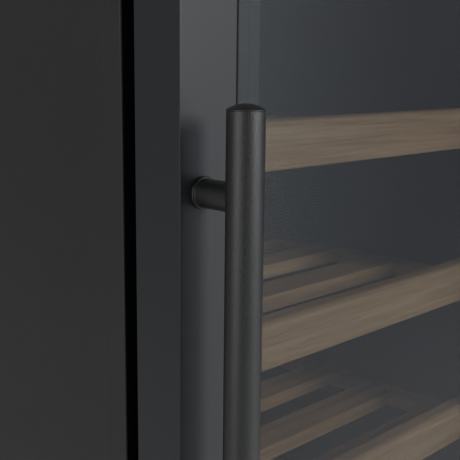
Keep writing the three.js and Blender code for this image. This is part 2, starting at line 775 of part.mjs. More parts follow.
/** A ring between two such outlines. */
function glazingRing(outerEdge, innerEdge, y0, y1) {
  return rectangularRing(inset(GLASS_OUTLINE, outerEdge), inset(GLASS_OUTLINE, innerEdge), y0, y1);
}

const CAVITY_BACK = OUTER_GLASS + CLEARANCE + GLASS_CAVITY;
const REAR_PANE_BACK = CAVITY_BACK + CLEARANCE + INNER_GLASS;

function glazingSpacer() {
  return glazingRing(GLAZING_EDGE, LIP - 1, OUTER_GLASS + CLEARANCE, CAVITY_BACK);
}

/** Plastic frame that holds the glazing from behind and closes the back of the profile. */
function doorInnerFrame() {
  const outerEdge = CLEARANCE - GLASS_SEAM;
  const innerEdge = GLAZING_EDGE - CLEARANCE;
  const beside = glazingRing(outerEdge, innerEdge, OUTER_GLASS + CLEARANCE, DOOR_DEPTH);
  const behind = glazingRing(outerEdge, LIP, REAR_PANE_BACK + CLEARANCE, DOOR_DEPTH);
  const cover = rectangularRing(
    inset(DOOR_OUTLINE, DOOR_SKIN + CLEARANCE), inset(DOOR_OPENING, LIP),
    DOOR_DEPTH - BACK_COVER, DOOR_DEPTH,
  );
  return join(beside, behind, cover);
}

const GASKET_INSET = 18;          // gasket's outer edge to the door's edge
const GASKET_WIDTH = 14;
const GASKET_EASE = 1.5;

function doorGasket() {
  const outer = inset(DOOR_OUTLINE, GASKET_INSET);
  const front = DOOR_DEPTH + CLEARANCE;
  const rear = DOOR_DEPTH + DOOR_GAP - CLEARANCE;
  return rectangularRing(outer, inset(outer, GASKET_WIDTH), front, rear, GASKET_EASE);
}

/** Hinge bush on +Z, with a running fit round the pin. */
function hingeBush() {
  const bore = PIN_DIAMETER / 2 + PIN_RUNNING_GAP;
  const outer = BUSH_DIAMETER / 2 - 2 * BUSH_SEAT_PLAY;
  return turned([[bore, 0], [outer, 0], [outer, BUSH_LENGTH], [bore, BUSH_LENGTH], [bore, 0]]);
}

// ---------------------------------------------------------------- handle

const HANDLE_X = -HALF_WIDTH + HANDLE_INSET;
const HANDLE_BOTTOM = (DOOR_HEIGHT - HANDLE_LENGTH) / 2;
const CAP_SEAT = 6;
const CAP_RIM = 0.9;              // cylindrical edge of a cap, from the bar's end
const BAR_WALL = 2.5;
const POST_SEAT_DEPTH = 5;
const POST_SEAT_PLAY = 0.4;

/** Bar on +Z. Each end is bored for a cap's spigot, and each post has a flat-bottomed seat. */
function handleBar() {
  const bar = rod('z', HANDLE_DIAMETER / 2, HANDLE_LENGTH, [0, 0, 0], FINE_SIDES);
  const seats = [-OVERSHOOT, HANDLE_LENGTH - CAP_SEAT].map((z) => (
    rod('z', HANDLE_DIAMETER / 2 - BAR_WALL, CAP_SEAT + OVERSHOOT, [0, 0, z])
  ));
  const postSeat = HANDLE_DIAMETER / 2 - POST_SEAT_DEPTH;
  const posts = [POST_INSET, HANDLE_LENGTH - POST_INSET].map((z) => (
    rod('y', POST_DIAMETER / 2 + CLEARANCE, HANDLE_DIAMETER, [0, postSeat, z])
  ));
  return cut(bar, ...seats, ...posts);
}

/** Domed end cap on +Z: a spigot, then a low crown with a crisp edge. */
function handleCap() {
  const radius = HANDLE_DIAMETER / 2;
  const spigot = radius - BAR_WALL - CLEARANCE;
  const sphere = (radius * radius + CAP_RISE * CAP_RISE) / (2 * CAP_RISE);
  const reach = Math.asin(radius / sphere);
  const steps = 5;
  const crown = Array.from({ length: steps }, (_, index) => {
    const angle = reach * (1 - index / steps);
    return [sphere * Math.sin(angle), CAP_RIM + sphere * Math.cos(angle) - sphere + CAP_RISE];
  });
  return turned([
    [0, 1 - CAP_SEAT], [spigot, 1 - CAP_SEAT], [spigot, CLEARANCE], [radius, CLEARANCE],
    ...crown, [0, CAP_RIM + CAP_RISE],
  ], FINE_SIDES);
}

/** Post from the door face out to the bar, along -Y, with a chamfered foot. */
function handlePost() {
  const radius = POST_DIAMETER / 2;
  const foot = POST_FOOT_DIAMETER / 2;
  const reach = HANDLE_STANDOFF - HANDLE_DIAMETER / 2 + POST_SEAT_DEPTH - POST_SEAT_PLAY;
  const post = turned([
    [0, 0], [foot - 0.6, 0], [foot, 0.6], [foot, 2.2], [radius, 3.4], [radius, reach], [0, reach],
  ], FINE_SIDES);
  return post.rotateX(Math.PI / 2);
}

// ---------------------------------------------------------------- hinges

const BRACKET_RIGHT = HALF_WIDTH - BRACKET_INSET;
const BRACKET_LEFT = BRACKET_RIGHT - BRACKET_WIDTH;
const UPPER_BRACKET_Z = BODY_HEIGHT + CLEARANCE;
const UPPER_BRACKET_REAR = FRAME_BACK + 60;
const LOWER_BRACKET_Z = DOOR_BOTTOM - BRACKET_THICKNESS - 1;
const LOWER_BRACKET_REAR = PAN_FRONT - 0.6;
const LOWER_BRACKET_BOTTOM = 40;
const PIN_HOLE_PLAY = 0.2;
const UPPER_SHANK = 23;           // pin length past its head, through plate and bush
const LOWER_SHANK = 19;

/** Flat hinge plate at a height, from in front of the pin back to the given place. */
function hingePlate(z, rear) {
  const plate = box(
    [BRACKET_LEFT, HINGE_Y - BRACKET_FRONT_REACH, z],
    [BRACKET_RIGHT, rear, z + BRACKET_THICKNESS],
  );
  const holeLength = BRACKET_THICKNESS + 2 * OVERSHOOT;
  const holeStart = [HINGE_X, HINGE_Y, z - OVERSHOOT];
  return cut(plate, rod('z', PIN_DIAMETER / 2 + PIN_HOLE_PLAY, holeLength, holeStart));
}

/** Lower plate with its flange turned down in front of the base pan. */
function lowerHingeBracket() {
  const flange = box(
    [BRACKET_LEFT, LOWER_BRACKET_REAR - BRACKET_THICKNESS, LOWER_BRACKET_BOTTOM],
    [BRACKET_RIGHT, LOWER_BRACKET_REAR, LOWER_BRACKET_Z + 1],
  );
  return join(hingePlate(LOWER_BRACKET_Z, LOWER_BRACKET_REAR), flange);
}

/** Hinge pin on +Z: a thin head, then the shank that stands in the door's bush. */
function hingePin(shank) {
  const radius = PIN_DIAMETER / 2;
  const top = PIN_HEAD_HEIGHT + shank;
  return turned([
    [0, 0], [PIN_HEAD_RADIUS, 0], [PIN_HEAD_RADIUS, PIN_HEAD_HEIGHT], [radius, PIN_HEAD_HEIGHT],
    [radius, top - PIN_CHAMFER], [radius - PIN_CHAMFER, top], [0, top],
  ]);
}

// ---------------------------------------------------------------- shelves

const SHELF_HALF = INNER_HALF_WIDTH - SHELF_SIDE_GAP;

/** Shelf front on local axes: front face at y = 0, underside at z = 0, rounded upper front edge. */
function shelfFront() {
  const radius = SHELF_EDGE_RADIUS;
  const steps = 4;
  const arc = Array.from({ length: steps + 1 }, (_, index) => {
    const angle = (index / steps) * (Math.PI / 2);
    return [
      radius - radius * Math.sin(angle),
      SHELF_FRONT_HEIGHT - radius + radius * Math.cos(angle),
    ];
  });
  const outline = [
    [SHELF_FRONT_DEPTH, 0], [SHELF_FRONT_DEPTH, SHELF_FRONT_HEIGHT],
    ...arc, [0, SHELF_EDGE_EASE], [SHELF_EDGE_EASE, 0],
  ];
  return alongX(outline, -SHELF_HALF, SHELF_HALF);
}

/** Slatted rack behind the front: two rails that carry the cross slats, in one glued piece. */
function shelfRack() {
  const front = SHELF_FRONT_DEPTH + CLEARANCE;
  const rear = front + RACK_DEPTH;
  const rails = [-1, 1].map((side) => {
    const outer = side * SHELF_HALF;
    const inner = side * (SHELF_HALF - RAIL_WIDTH);
    return box([Math.min(outer, inner), front, 0], [Math.max(outer, inner), rear, SLAT_THICKNESS]);
  });
  const slatHalf = SHELF_HALF - 1;
  const pitch = (RACK_DEPTH - SLAT_WIDTH) / (SLAT_COUNT - 1);
  const slats = Array.from({ length: SLAT_COUNT }, (_, index) => {
    const y = front + index * pitch;
    return box([-slatHalf, y, 0], [slatHalf, y + SLAT_WIDTH, SLAT_THICKNESS]);
  });
  return join(...rails, ...slats);
}

// ---------------------------------------------------------------- assembly

const wineCooler = new THREE.Group();
const cabinet = new THREE.Group();
const coolingUnit = new THREE.Group();
const door = new THREE.Group();
wineCooler.add(cabinet, coolingUnit, door);

addTo(cabinet, 'side_panel_left', sidePanel(-1), finishes.cabinetPaint());
addTo(cabinet, 'side_panel_right', sidePanel(1), finishes.cabinetPaint());
addTo(cabinet, 'top_panel', topPanel(), finishes.cabinetPaint());
addTo(cabinet, 'back_panel', backPanel(), finishes.galvanised());
addTo(cabinet, 'front_frame', frontFrame(), finishes.cabinetPaint());
addTo(cabinet, 'inner_liner', innerLiner(), finishes.liner());
addTo(cabinet, 'insulation_foam', insulationFoam(), finishes.foam());
addTo(cabinet, 'base_pan', basePan(), finishes.galvanised());
addTo(cabinet, 'plinth_grille', plinthGrille(), finishes.plastic());
addTo(cabinet, 'rear_grille', rearGrille(), finishes.galvanised());
addTo(cabinet, 'power_inlet', powerInlet(), finishes.plastic());
addTo(cabinet, 'control_panel', controlPanel(), finishes.plastic());
addTo(cabinet, 'display_lens', displayLens(), finishes.smokedGlass());
addTo(cabinet, 'lamp_cover', lampCover(), finishes.lens());

footPlaces().forEach(([x, y], index) => {
  const foot = addTo(cabinet, `levelling_foot_${index + 1}`, levellingFoot(), finishes.rubber());
  foot.position.set(x, y, 0);
});

for (let index = 0; index < BUTTON_COUNT; index += 1) {
  const button = addTo(cabinet, `control_button_${index + 1}`, pushButton(), finishes.plastic());
  button.position.set(buttonX(index), PANEL_FRONT - BUTTON_STAND + BUTTON_LENGTH, BUTTON_Z);
}

addTo(coolingUnit, 'compressor', compressor(), finishes.blackSteel());
addTo(coolingUnit, 'condenser', finStack(CONDENSER), finishes.steel());
addTo(coolingUnit, 'evaporator', finStack(EVAPORATOR), finishes.steel());
addTo(coolingUnit, 'evaporator_cover', evaporatorCover(), finishes.liner());

const condenserFan = new THREE.Group();
condenserFan.position.set(CONDENSER_FAN.x, CONDENSER_FAN.y, CONDENSER_FAN.z);
condenserFan.rotation.y = -Math.PI / 2;
const condenserMount = addTo(
  condenserFan, 'condenser_fan_mount', fanMount(CONDENSER_FAN), finishes.plastic(),
);
condenserMount.rotation.x = Math.PI;
condenserMount.position.z = -CLEARANCE;
const condenserRotor = addTo(
  condenserFan, 'condenser_fan_rotor', fanRotor(CONDENSER_FAN), finishes.plastic(),
);
condenserRotor.position.z = 1;
coolingUnit.add(condenserFan);

const evaporatorFan = new THREE.Group();
evaporatorFan.position.set(0, COVER.front + COVER.wall + CLEARANCE, EVAPORATOR_FAN.z);
evaporatorFan.rotation.x = Math.PI / 2;
const evaporatorMount = addTo(
  evaporatorFan, 'evaporator_fan_mount', fanMount(EVAPORATOR_FAN), finishes.plastic(),
);
evaporatorMount.rotation.x = Math.PI;
evaporatorMount.position.z = -EVAPORATOR_FAN.depth - 1;
const evaporatorRotor = addTo(
  evaporatorFan, 'evaporator_fan_rotor', fanRotor(EVAPORATOR_FAN), finishes.plastic(),
);
evaporatorRotor.position.z = -EVAPORATOR_FAN.depth;
coolingUnit.add(evaporatorFan);

door.position.set(0, DOOR_FACE, DOOR_BOTTOM);
addTo(door, 'door_frame', doorFrame(), finishes.doorBlack());
addTo(door, 'door_glass_outer', pane(0, 0, OUTER_GLASS), finishes.smokedGlass());
addTo(door, 'glazing_spacer', glazingSpacer(), finishes.plastic());
const innerPane = pane(GLAZING_EDGE, CAVITY_BACK + CLEARANCE, REAR_PANE_BACK);
addTo(door, 'door_glass_inner', innerPane, finishes.clearGlass());
addTo(door, 'door_inner_frame', doorInnerFrame(), finishes.plastic());
addTo(door, 'door_gasket', doorGasket(), finishes.rubber());

const handle = new THREE.Group();
handle.position.set(HANDLE_X, -HANDLE_STANDOFF, HANDLE_BOTTOM);
addTo(handle, 'handle_bar', handleBar(), finishes.handleBlack());
const upperCap = addTo(handle, 'handle_cap_upper', handleCap(), finishes.handleBlack());
upperCap.position.z = HANDLE_LENGTH;
const lowerCap = addTo(handle, 'handle_cap_lower', handleCap(), finishes.handleBlack());
lowerCap.rotation.x = Math.PI;
for (const [name, z] of [['lower', POST_INSET], ['upper', HANDLE_LENGTH - POST_INSET]]) {
  const post = addTo(handle, `handle_post_${name}`, handlePost(), finishes.handleBlack());
  post.position.set(0, HANDLE_STANDOFF - CLEARANCE, z);
}
door.add(handle);

for (const [name, z] of [['lower', CLEARANCE], ['upper', DOOR_HEIGHT - BUSH_LENGTH - CLEARANCE]]) {
  const bush = addTo(door, `hinge_bush_${name}`, hingeBush(), finishes.brassBush());
  bush.position.set(HINGE_X, HINGE_SETBACK, z);
}

const upperPlate = hingePlate(UPPER_BRACKET_Z, UPPER_BRACKET_REAR);
addTo(cabinet, 'hinge_bracket_upper', upperPlate, finishes.blackSteel());
addTo(cabinet, 'hinge_bracket_lower', lowerHingeBracket(), finishes.blackSteel());
const upperPin = addTo(cabinet, 'hinge_pin_upper', hingePin(UPPER_SHANK), finishes.steel());
const upperPinHead = UPPER_BRACKET_Z + BRACKET_THICKNESS + CLEARANCE + PIN_HEAD_HEIGHT;
upperPin.rotation.x = Math.PI;
upperPin.position.set(HINGE_X, HINGE_Y, upperPinHead);
const lowerPin = addTo(cabinet, 'hinge_pin_lower', hingePin(LOWER_SHANK), finishes.steel());
lowerPin.position.set(HINGE_X, HINGE_Y, LOWER_BRACKET_Z - CLEARANCE - PIN_HEAD_HEIGHT);

shelfLevels().forEach((level, index) => {
  const shelf = new THREE.Group();
  shelf.position.set(0, DOOR_FACE + SHELF_FRONT_SETBACK, level);
  addTo(shelf, `shelf_front_${index + 1}`, shelfFront(), finishes.beech());
  addTo(shelf, `shelf_rack_${index + 1}`, shelfRack(), finishes.beech());
  wineCooler.add(shelf);
});

export default wineCooler;
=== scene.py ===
"""Looks of the wine cooler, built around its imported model. Metres, +Z up, the door faces -Y."""

import math

import bmesh
import bpy
from mathutils import Matrix, Vector


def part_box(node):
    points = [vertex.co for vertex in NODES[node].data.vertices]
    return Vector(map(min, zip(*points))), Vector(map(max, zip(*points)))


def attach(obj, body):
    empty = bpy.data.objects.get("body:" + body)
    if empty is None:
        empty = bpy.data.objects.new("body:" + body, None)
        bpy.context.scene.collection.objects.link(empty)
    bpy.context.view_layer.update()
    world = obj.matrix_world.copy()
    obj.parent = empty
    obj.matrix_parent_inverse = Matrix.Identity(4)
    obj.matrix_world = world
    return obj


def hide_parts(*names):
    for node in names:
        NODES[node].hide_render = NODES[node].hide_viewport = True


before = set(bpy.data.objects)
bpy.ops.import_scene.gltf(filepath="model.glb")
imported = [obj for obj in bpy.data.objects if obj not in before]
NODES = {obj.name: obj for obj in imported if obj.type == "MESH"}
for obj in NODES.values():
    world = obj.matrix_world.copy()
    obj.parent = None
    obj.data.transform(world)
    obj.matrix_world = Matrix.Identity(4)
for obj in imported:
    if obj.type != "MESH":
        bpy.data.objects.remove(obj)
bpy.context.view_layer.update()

# ---- camera, lamps, floor

DOOR_LOW, DOOR_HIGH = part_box("door_frame")
POST_LOW, POST_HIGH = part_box("handle_post_upper")
POST_Z = (POST_LOW.z + POST_HIGH.z) / 2

CAMERA_LEFT_OF_DOOR = 0.340
CAMERA_BEFORE_DOOR = 0.389
CAMERA_OVER_POST = 0.082
CAMERA_TURN = math.radians(44.63)      # clockwise from straight at the door
CAMERA_DIP = math.radians(10.53)
CAMERA_ROLL = math.radians(0.61)
CAMERA_LENS = 65.35
CAMERA_SHIFT_Y = -0.026

SURROUND_COLOR = (0.86, 0.88, 0.91)
SURROUND_STRENGTH = 0.16


def make_camera():
    ahead = Vector((
        math.sin(CAMERA_TURN) * math.cos(CAMERA_DIP),
        math.cos(CAMERA_TURN) * math.cos(CAMERA_DIP),
        -math.sin(CAMERA_DIP),
    ))
    level = Vector((math.cos(CAMERA_TURN), -math.sin(CAMERA_TURN), 0))
    up = level.cross(ahead)
    right = level * math.cos(CAMERA_ROLL) + up * math.sin(CAMERA_ROLL)
    top = up * math.cos(CAMERA_ROLL) - level * math.sin(CAMERA_ROLL)
    turn = Matrix((right, top, -ahead)).transposed().to_4x4()
    place = Vector((
        DOOR_LOW.x - CAMERA_LEFT_OF_DOOR,
        DOOR_LOW.y - CAMERA_BEFORE_DOOR,
        POST_Z + CAMERA_OVER_POST,
    ))
    data = bpy.data.cameras.new("camera")
    data.lens = CAMERA_LENS
    data.sensor_width = 36
    data.shift_y = CAMERA_SHIFT_Y
    data.clip_start = 0.02
    camera = bpy.data.objects.new("camera", data)
    camera.matrix_world = Matrix.Translation(place) @ turn
    bpy.context.scene.collection.objects.link(camera)
    bpy.context.scene.camera = camera


def area_lamp(name, place, aim, size, power, color=(1.0, 1.0, 1.0)):
    data = bpy.data.lights.new(name, "AREA")
    data.shape = "RECTANGLE"
    data.size, data.size_y = size
    data.energy = power
    data.color = color
    lamp = bpy.data.objects.new(name, data)
    turn = (Vector(aim) - Vector(place)).to_track_quat("-Z", "Y").to_matrix().to_4x4()
    lamp.matrix_world = Matrix.Translation(place) @ turn
    bpy.context.scene.collection.objects.link(lamp)


def make_lamps():
    """The right lamp gives the sheen on bar, stile and glass; the front one lights the wood."""
    area_lamp("right", (2.35, -3.7, 1.55), (0, -0.3, 1.2), (1.9, 3.0), 42, (0.84, 0.93, 1.0))
    area_lamp("front", (0.75, -3.6, 2.5), (0, -0.2, 1.1), (1.0, 1.3), 160, (1.0, 0.985, 0.96))
    area_lamp("left", (-4.85, -0.27, 1.72), (0, 0, 1.0), (2.95, 3.2), 104)
    area_lamp("back", (1.0, 3.6, 2.2), (0, 0, 0.9), (2.4, 2.4), 60)
    world = bpy.data.worlds.new("studio")
    world.use_nodes = True
    background = world.node_tree.nodes["Background"]
    background.inputs["Color"].default_value = (*SURROUND_COLOR, 1)
    background.inputs["Strength"].default_value = SURROUND_STRENGTH
    bpy.context.scene.world = world


def look_settings():
    view = bpy.context.scene.view_settings
    view.view_transform = "Standard"
    view.look = "None"


# ---- material nodes

MIX_COLOR_A, MIX_COLOR_B, MIX_COLOR_OUT = 6, 7, 2      # the Mix node's sockets for colours
HAIR_LINE_DEPTH = 0.00001


class Shader:
    """A material's node tree with one Principled shader, and short ways to add to it."""

    def __init__(self, name, color, roughness, metallic=0.0, **sockets):
        self.name = name
        self.material = bpy.data.materials.new(name)
        self.material.use_nodes = True
        self.tree = self.material.node_tree
        self.shader = self.tree.nodes["Principled BSDF"]
        self.set("Base Color", (*color, 1))
        self.set("Roughness", roughness)
        self.set("Metallic", metallic)
        for socket, value in sockets.items():
            self.set(socket.replace("_", " "), value)
        self.coordinates = self.tree.nodes.new("ShaderNodeTexCoord").outputs["Object"]
        self.height = None

    def set(self, socket, value):
        self.shader.inputs[socket].default_value = value

    def link(self, output, target):
        self.tree.links.new(output, target)

    def stretched(self, scale):
        """Object coordinates times a scale: one figure for all axes, or one for each."""
        mapping = self.tree.nodes.new("ShaderNodeMapping")
        mapping.inputs["Scale"].default_value = scale if isinstance(scale, tuple) else (scale,) * 3
        self.link(self.coordinates, mapping.inputs["Vector"])
        return mapping.outputs["Vector"]

    def noise(self, scale, detail=3.0, roughness=0.55):
        """Noise with so many cells to the metre."""
        node = self.tree.nodes.new("ShaderNodeTexNoise")
        node.inputs["Scale"].default_value = 1.0
        node.inputs["Detail"].default_value = detail
        node.inputs["Roughness"].default_value = roughness
        self.link(self.stretched(scale), node.inputs["Vector"])
        return node.outputs["Fac"]

    def cells(self, scale, output="Distance"):
        """Crystals or pores, so many to the metre."""
        node = self.tree.nodes.new("ShaderNodeTexVoronoi")
        node.inputs["Scale"].default_value = 1.0
        self.link(self.stretched(scale), node.inputs["Vector"])
        return node.outputs[output]

    def ramp(self, factor, stops):
        """Colours, or greys as one figure, along a factor from 0 to 1."""
        node = self.tree.nodes.new("ShaderNodeValToRGB")
        elements = node.color_ramp.elements
        while len(elements) < len(stops):
            elements.new(0.5)
        for element, (place, color) in zip(elements, stops):
            element.position = place
            element.color = (*color, 1) if isinstance(color, tuple) else (color, color, color, 1)
        self.link(factor, node.inputs["Fac"])
        return node.outputs["Color"]

    def mix(self, factor, first, second, blend="MIX"):
        """Mixes two colours; each of the three values is an output or a plain figure."""
        node = self.tree.nodes.new("ShaderNodeMix")
        node.data_type = "RGBA"
        node.blend_type = blend
        sockets = (node.inputs["Factor"], node.inputs[MIX_COLOR_A], node.inputs[MIX_COLOR_B])
        for socket, value in zip(sockets, (factor, first, second)):
            if isinstance(value, bpy.types.NodeSocket):
                self.link(value, socket)
            else:
                socket.default_value = (*value, 1) if isinstance(value, tuple) else value
        return node.outputs[MIX_COLOR_OUT]

    def color(self, output):
        self.link(output, self.shader.inputs["Base Color"])

    def roughness(self, factor, low, high):
        node = self.tree.nodes.new("ShaderNodeMapRange")
        node.inputs["To Min"].default_value = low
        node.inputs["To Max"].default_value = high
        self.link(factor, node.inputs["Value"])
        self.link(node.outputs["Result"], self.shader.inputs["Roughness"])

    def bump(self, height, depth):
        """Adds relief so many metres deep, over any that is there already."""
        node = self.tree.nodes.new("ShaderNodeBump")
        node.inputs["Strength"].default_value = 1.0
        node.inputs["Distance"].default_value = depth
        self.link(height, node.inputs["Height"])
        if self.height is not None:
            self.link(self.height, node.inputs["Normal"])
        self.height = node.outputs["Normal"]
        self.link(self.height, self.shader.inputs["Normal"])


def along_axis(direction, lengthwise, across):
    """Scales that draw a pattern out along one axis."""
    return tuple(lengthwise if axis == direction else across for axis in "xyz")


def shades(base, spread):
    """Two versions of a colour, a little darker and a little lighter."""
    return tuple(c * (1 - spread) for c in base), tuple(min(1, c * (1 + spread)) for c in base)


def coated(name, base, roughness, grain, depth, spread=0.08, **sockets):
    """Paint or moulded plastic: faint blotches, fine grain in the relief, uneven gloss."""
    made = Shader(name, base, roughness, **sockets)
    dark, light = shades(base, spread)
    made.color(made.ramp(made.noise(9.0, 4.0), [(0.3, dark), (0.7, light)]))
    made.roughness(made.noise(35.0, 3.0), roughness - 0.05, roughness + 0.05)
    made.bump(made.noise(grain, 2.0), depth)
    return made


def grained(name, base, roughness):
    """Fine-textured powder coat: a pebbled relief, rougher on top than in its dips, with painted
    shade darkening the dips and the tops painted lighter.
    """
    made = Shader(name, base, roughness)
    dark, light = shades(base, 0.55)
    pebble_relief_and_shade = made.noise(1000.0, 3.0, 0.7)
    # painted shade and light: the dips of the relief are painted darker and its tops lighter
    made.color(made.ramp(pebble_relief_and_shade, [(0.36, dark), (0.64, light)]))
    made.roughness(pebble_relief_and_shade, roughness - 0.12, roughness + 0.14)
    made.bump(pebble_relief_and_shade, 0.0002)
    made.bump(made.noise(2600.0, 2.0), 0.00004)
    return made


def drawn(name, base, roughness, direction, metallic=0.0, spread=0.1, **sockets):
    """A drawn or extruded profile: hair lines that run along one axis under an even finish."""
    made = Shader(name, base, roughness, metallic, **sockets)
    dark, light = shades(base, spread)
    streaks = made.noise(along_axis(direction, 6.0, 2600.0), 4.0, 0.6)
    made.color(made.ramp(streaks, [(0.25, dark), (0.75, light)]))
    made.roughness(made.noise(24.0, 3.0), roughness - 0.04, roughness + 0.05)
    made.bump(streaks, HAIR_LINE_DEPTH)
    made.bump(made.noise(2200.0, 2.0), HAIR_LINE_DEPTH * 0.6)
    return made


def beech(name, direction):
    """Steamed beech: soft growth bands, fine fibre and the short dark flecks of its rays."""
    made = Shader(name, (0.56, 0.40, 0.25), 0.5, Coat_Weight=0.12, Coat_Roughness=0.35)
    bands = made.noise(along_axis(direction, 3.2, 105.0), 5.0, 0.62)
    fibre = made.noise(along_axis(direction, 11.0, 620.0), 4.0, 0.6)
    flecks = made.cells(along_axis(direction, 95.0, 900.0))
    tone = made.ramp(bands, [
        (0.32, (0.50, 0.305, 0.145)), (0.46, (0.67, 0.445, 0.235)),
        (0.54, (0.72, 0.49, 0.27)), (0.68, (0.82, 0.60, 0.36)),
    ])
    fibre_tone = made.ramp(fibre, [(0.32, 0.68), (0.62, 1.0)])
    fleck_tone = made.ramp(flecks, [(0.10, 0.50), (0.26, 1.0)])
    toned = made.mix(1.0, tone, fibre_tone, "MULTIPLY")
    made.color(made.mix(0.7, toned, fleck_tone, "MULTIPLY"))
    made.roughness(fibre, 0.42, 0.58)
    made.bump(fibre, 0.00006)
    made.bump(fleck_tone, 0.00003)
    return made


def tinted_glass(name, base, alpha, roughness):
    """A see-through pane with a soft sheen and faint, slow changes in its tint."""
    made = Shader(name, base, roughness, Alpha=alpha, IOR=1.5, Specular_IOR_Level=0.36)
    dark, light = shades(base, 0.12)
    made.color(made.ramp(made.noise(3.0, 2.0), [(0.3, dark), (0.7, light)]))
    made.roughness(made.noise(7.0, 4.0), roughness * 0.8, roughness * 1.2)
    made.material.surface_render_method = "BLENDED"
    return made


def galvanised(name):
    """Zinc-coated sheet: flat crystals a few millimetres across, each with its own shine."""
    made = Shader(name, (0.52, 0.54, 0.56), 0.42, 0.9)
    spangle = made.cells(170.0, "Color")
    made.color(made.mix(made.noise(60.0), (0.46, 0.48, 0.50), (0.60, 0.62, 0.64)))
    made.roughness(spangle, 0.34, 0.52)
    made.bump(spangle, 0.00003)
    return made


def foam(name):
    made = Shader(name, (0.72, 0.58, 0.32), 0.9)
    pores = made.cells(420.0)
    made.color(made.ramp(pores, [(0.1, (0.55, 0.42, 0.20)), (0.5, (0.76, 0.63, 0.37))]))
    made.bump(pores, 0.0006)
    return made


def glowing(name, color, strength):
    made = coated(name, color, 0.4, 900.0, 0.00002, 0.04)
    made.set("Emission Color", (*color, 1))
    made.set("Emission Strength", strength)
    return made


def make_materials():
    black = (0.016, 0.017, 0.019)
    door = (0.028, 0.0295, 0.032)
    satin, soft, matt, flat = ({"Specular_IOR_Level": level} for level in (0.35, 0.2, 0.1, 0.05))
    made = [
        coated("cabinet_paint", (0.0185, 0.0185, 0.019), 0.6, 2400.0, 0.00002, **satin),
        galvanised("zinc_steel"),
        coated("black_steel", (0.012, 0.012, 0.013), 0.35, 1200.0, 0.00003),
        drawn("door_upright", door, 0.40, "z", 0.1, **soft),
        drawn("door_rail", door, 0.40, "x", 0.1, **soft),
        grained("handle_black", (0.009, 0.0095, 0.010), 0.37),
        coated("liner", (0.022, 0.023, 0.025), 0.5, 260.0, 0.00001),
        foam("foam"),
        tinted_glass("smoked_glass", (0.022, 0.0245, 0.029), 0.37, 0.29),
        tinted_glass("clear_glass", (0.040, 0.045, 0.048), 0.08, 0.1),
        coated("display", (0.010, 0.011, 0.013), 0.12, 600.0, 0.00001, 0.05, Coat_Weight=0.6),
        coated("rubber", (0.006, 0.006, 0.0065), 0.85, 1700.0, 0.00002, **matt),
        # painted shade: near-black paint for the face frame's front, which lies in the shade of the
        # door gap
        coated("painted_shade_band", (0.0035, 0.0035, 0.0038), 0.8, 1500.0, 0.00002, **flat),
        coated("black_plastic", black, 0.52, 2000.0, 0.000015),
        coated("button", (0.035, 0.036, 0.038), 0.45, 2300.0, 0.000015),
        drawn("fin_aluminium", (0.62, 0.63, 0.65), 0.38, "z", 0.9),
        glowing("lamp", (0.90, 0.93, 0.97), 1.2),
        glowing("digits", (0.75, 0.88, 1.0), 3.0),
        coated("bush", (0.62, 0.60, 0.52), 0.45, 1500.0, 0.00004),
        drawn("pin_steel", (0.55, 0.56, 0.57), 0.28, "z", 1.0),
        drawn("screw_zinc", (0.50, 0.51, 0.52), 0.32, "x", 1.0),
        drawn("copper", (0.72, 0.34, 0.20), 0.3, "y", 1.0, 0.2),
        beech("beech_x", "x"),
        beech("beech_y", "y"),
    ]
    return {shader.name: shader.material for shader in made}


# ---- mesh making


def box_into(mesh, low, high, bevel=0.0, segments=2, material=0):
    """Adds a box with eased edges to a bmesh."""
    low, high = Vector(low), Vector(high)
    made = bmesh.ops.create_cube(mesh, size=1.0)
    verts = made["verts"]
    bmesh.ops.scale(mesh, vec=high - low, verts=verts)
    bmesh.ops.translate(mesh, vec=(high + low) / 2, verts=verts)
    faces = {face for vert in verts for face in vert.link_faces}
    if bevel > 0:
        edges = {edge for vert in verts for edge in vert.link_edges}
        done = bmesh.ops.bevel(
            mesh, geom=list(edges), offset=bevel, segments=segments, profile=0.5, affect="EDGES",
        )
        faces = {face for face in faces if face.is_valid} | set(done["faces"])
    for face in faces:
        face.material_index = material


AXIS_TURNS = {
    "z": Matrix.Identity(4),
    "x": Matrix.Rotation(math.pi / 2, 4, "Y"),
    "y": Matrix.Rotation(-math.pi / 2, 4, "X"),
    "-x": Matrix.Rotation(-math.pi / 2, 4, "Y"),
    "-y": Matrix.Rotation(math.pi / 2, 4, "X"),
    "-z": Matrix.Rotation(math.pi, 4, "X"),
}


def turned_into(mesh, rings, place, axis="z", segments=64, material=0):
    """Adds a turned body from rings of (radius, height); a radius may depend on the angle."""
    matrix = Matrix.Translation(place) @ AXIS_TURNS[axis]
    angles = [2 * math.pi * step / segments for step in range(segments)]
    loops = []
    for radius, height in rings:
        if radius == 0:
            loops.append([mesh.verts.new(matrix @ Vector((0, 0, height)))])
            continue
        loop = []
        for angle in angles:
            reach = radius(angle) if callable(radius) else radius
            point = Vector((reach * math.cos(angle), reach * math.sin(angle), height))
            loop.append(mesh.verts.new(matrix @ point))
        loops.append(loop)
    for lower, upper in zip(loops, loops[1:]):
        if len(lower) == 1 and len(upper) == 1:
            continue
        for step in range(segments):
            after = (step + 1) % segments
            if len(lower) == 1:
                corners = [lower[0], upper[after], upper[step]]
            elif len(upper) == 1:
                corners = [lower[step], lower[after], upper[0]]
            else:
                corners = [lower[step], lower[after], upper[after], upper[step]]
            mesh.faces.new(corners).material_index = material


def arc(center, radius, start, stop, steps):
    """Points on a circle in the (radius, height) plane, angles in degrees from outward."""
    angles = [math.radians(start + (stop - start) * step / steps) for step in range(steps + 1)]
    return [(center[0] + radius * math.cos(a), center[1] + radius * math.sin(a)) for a in angles]


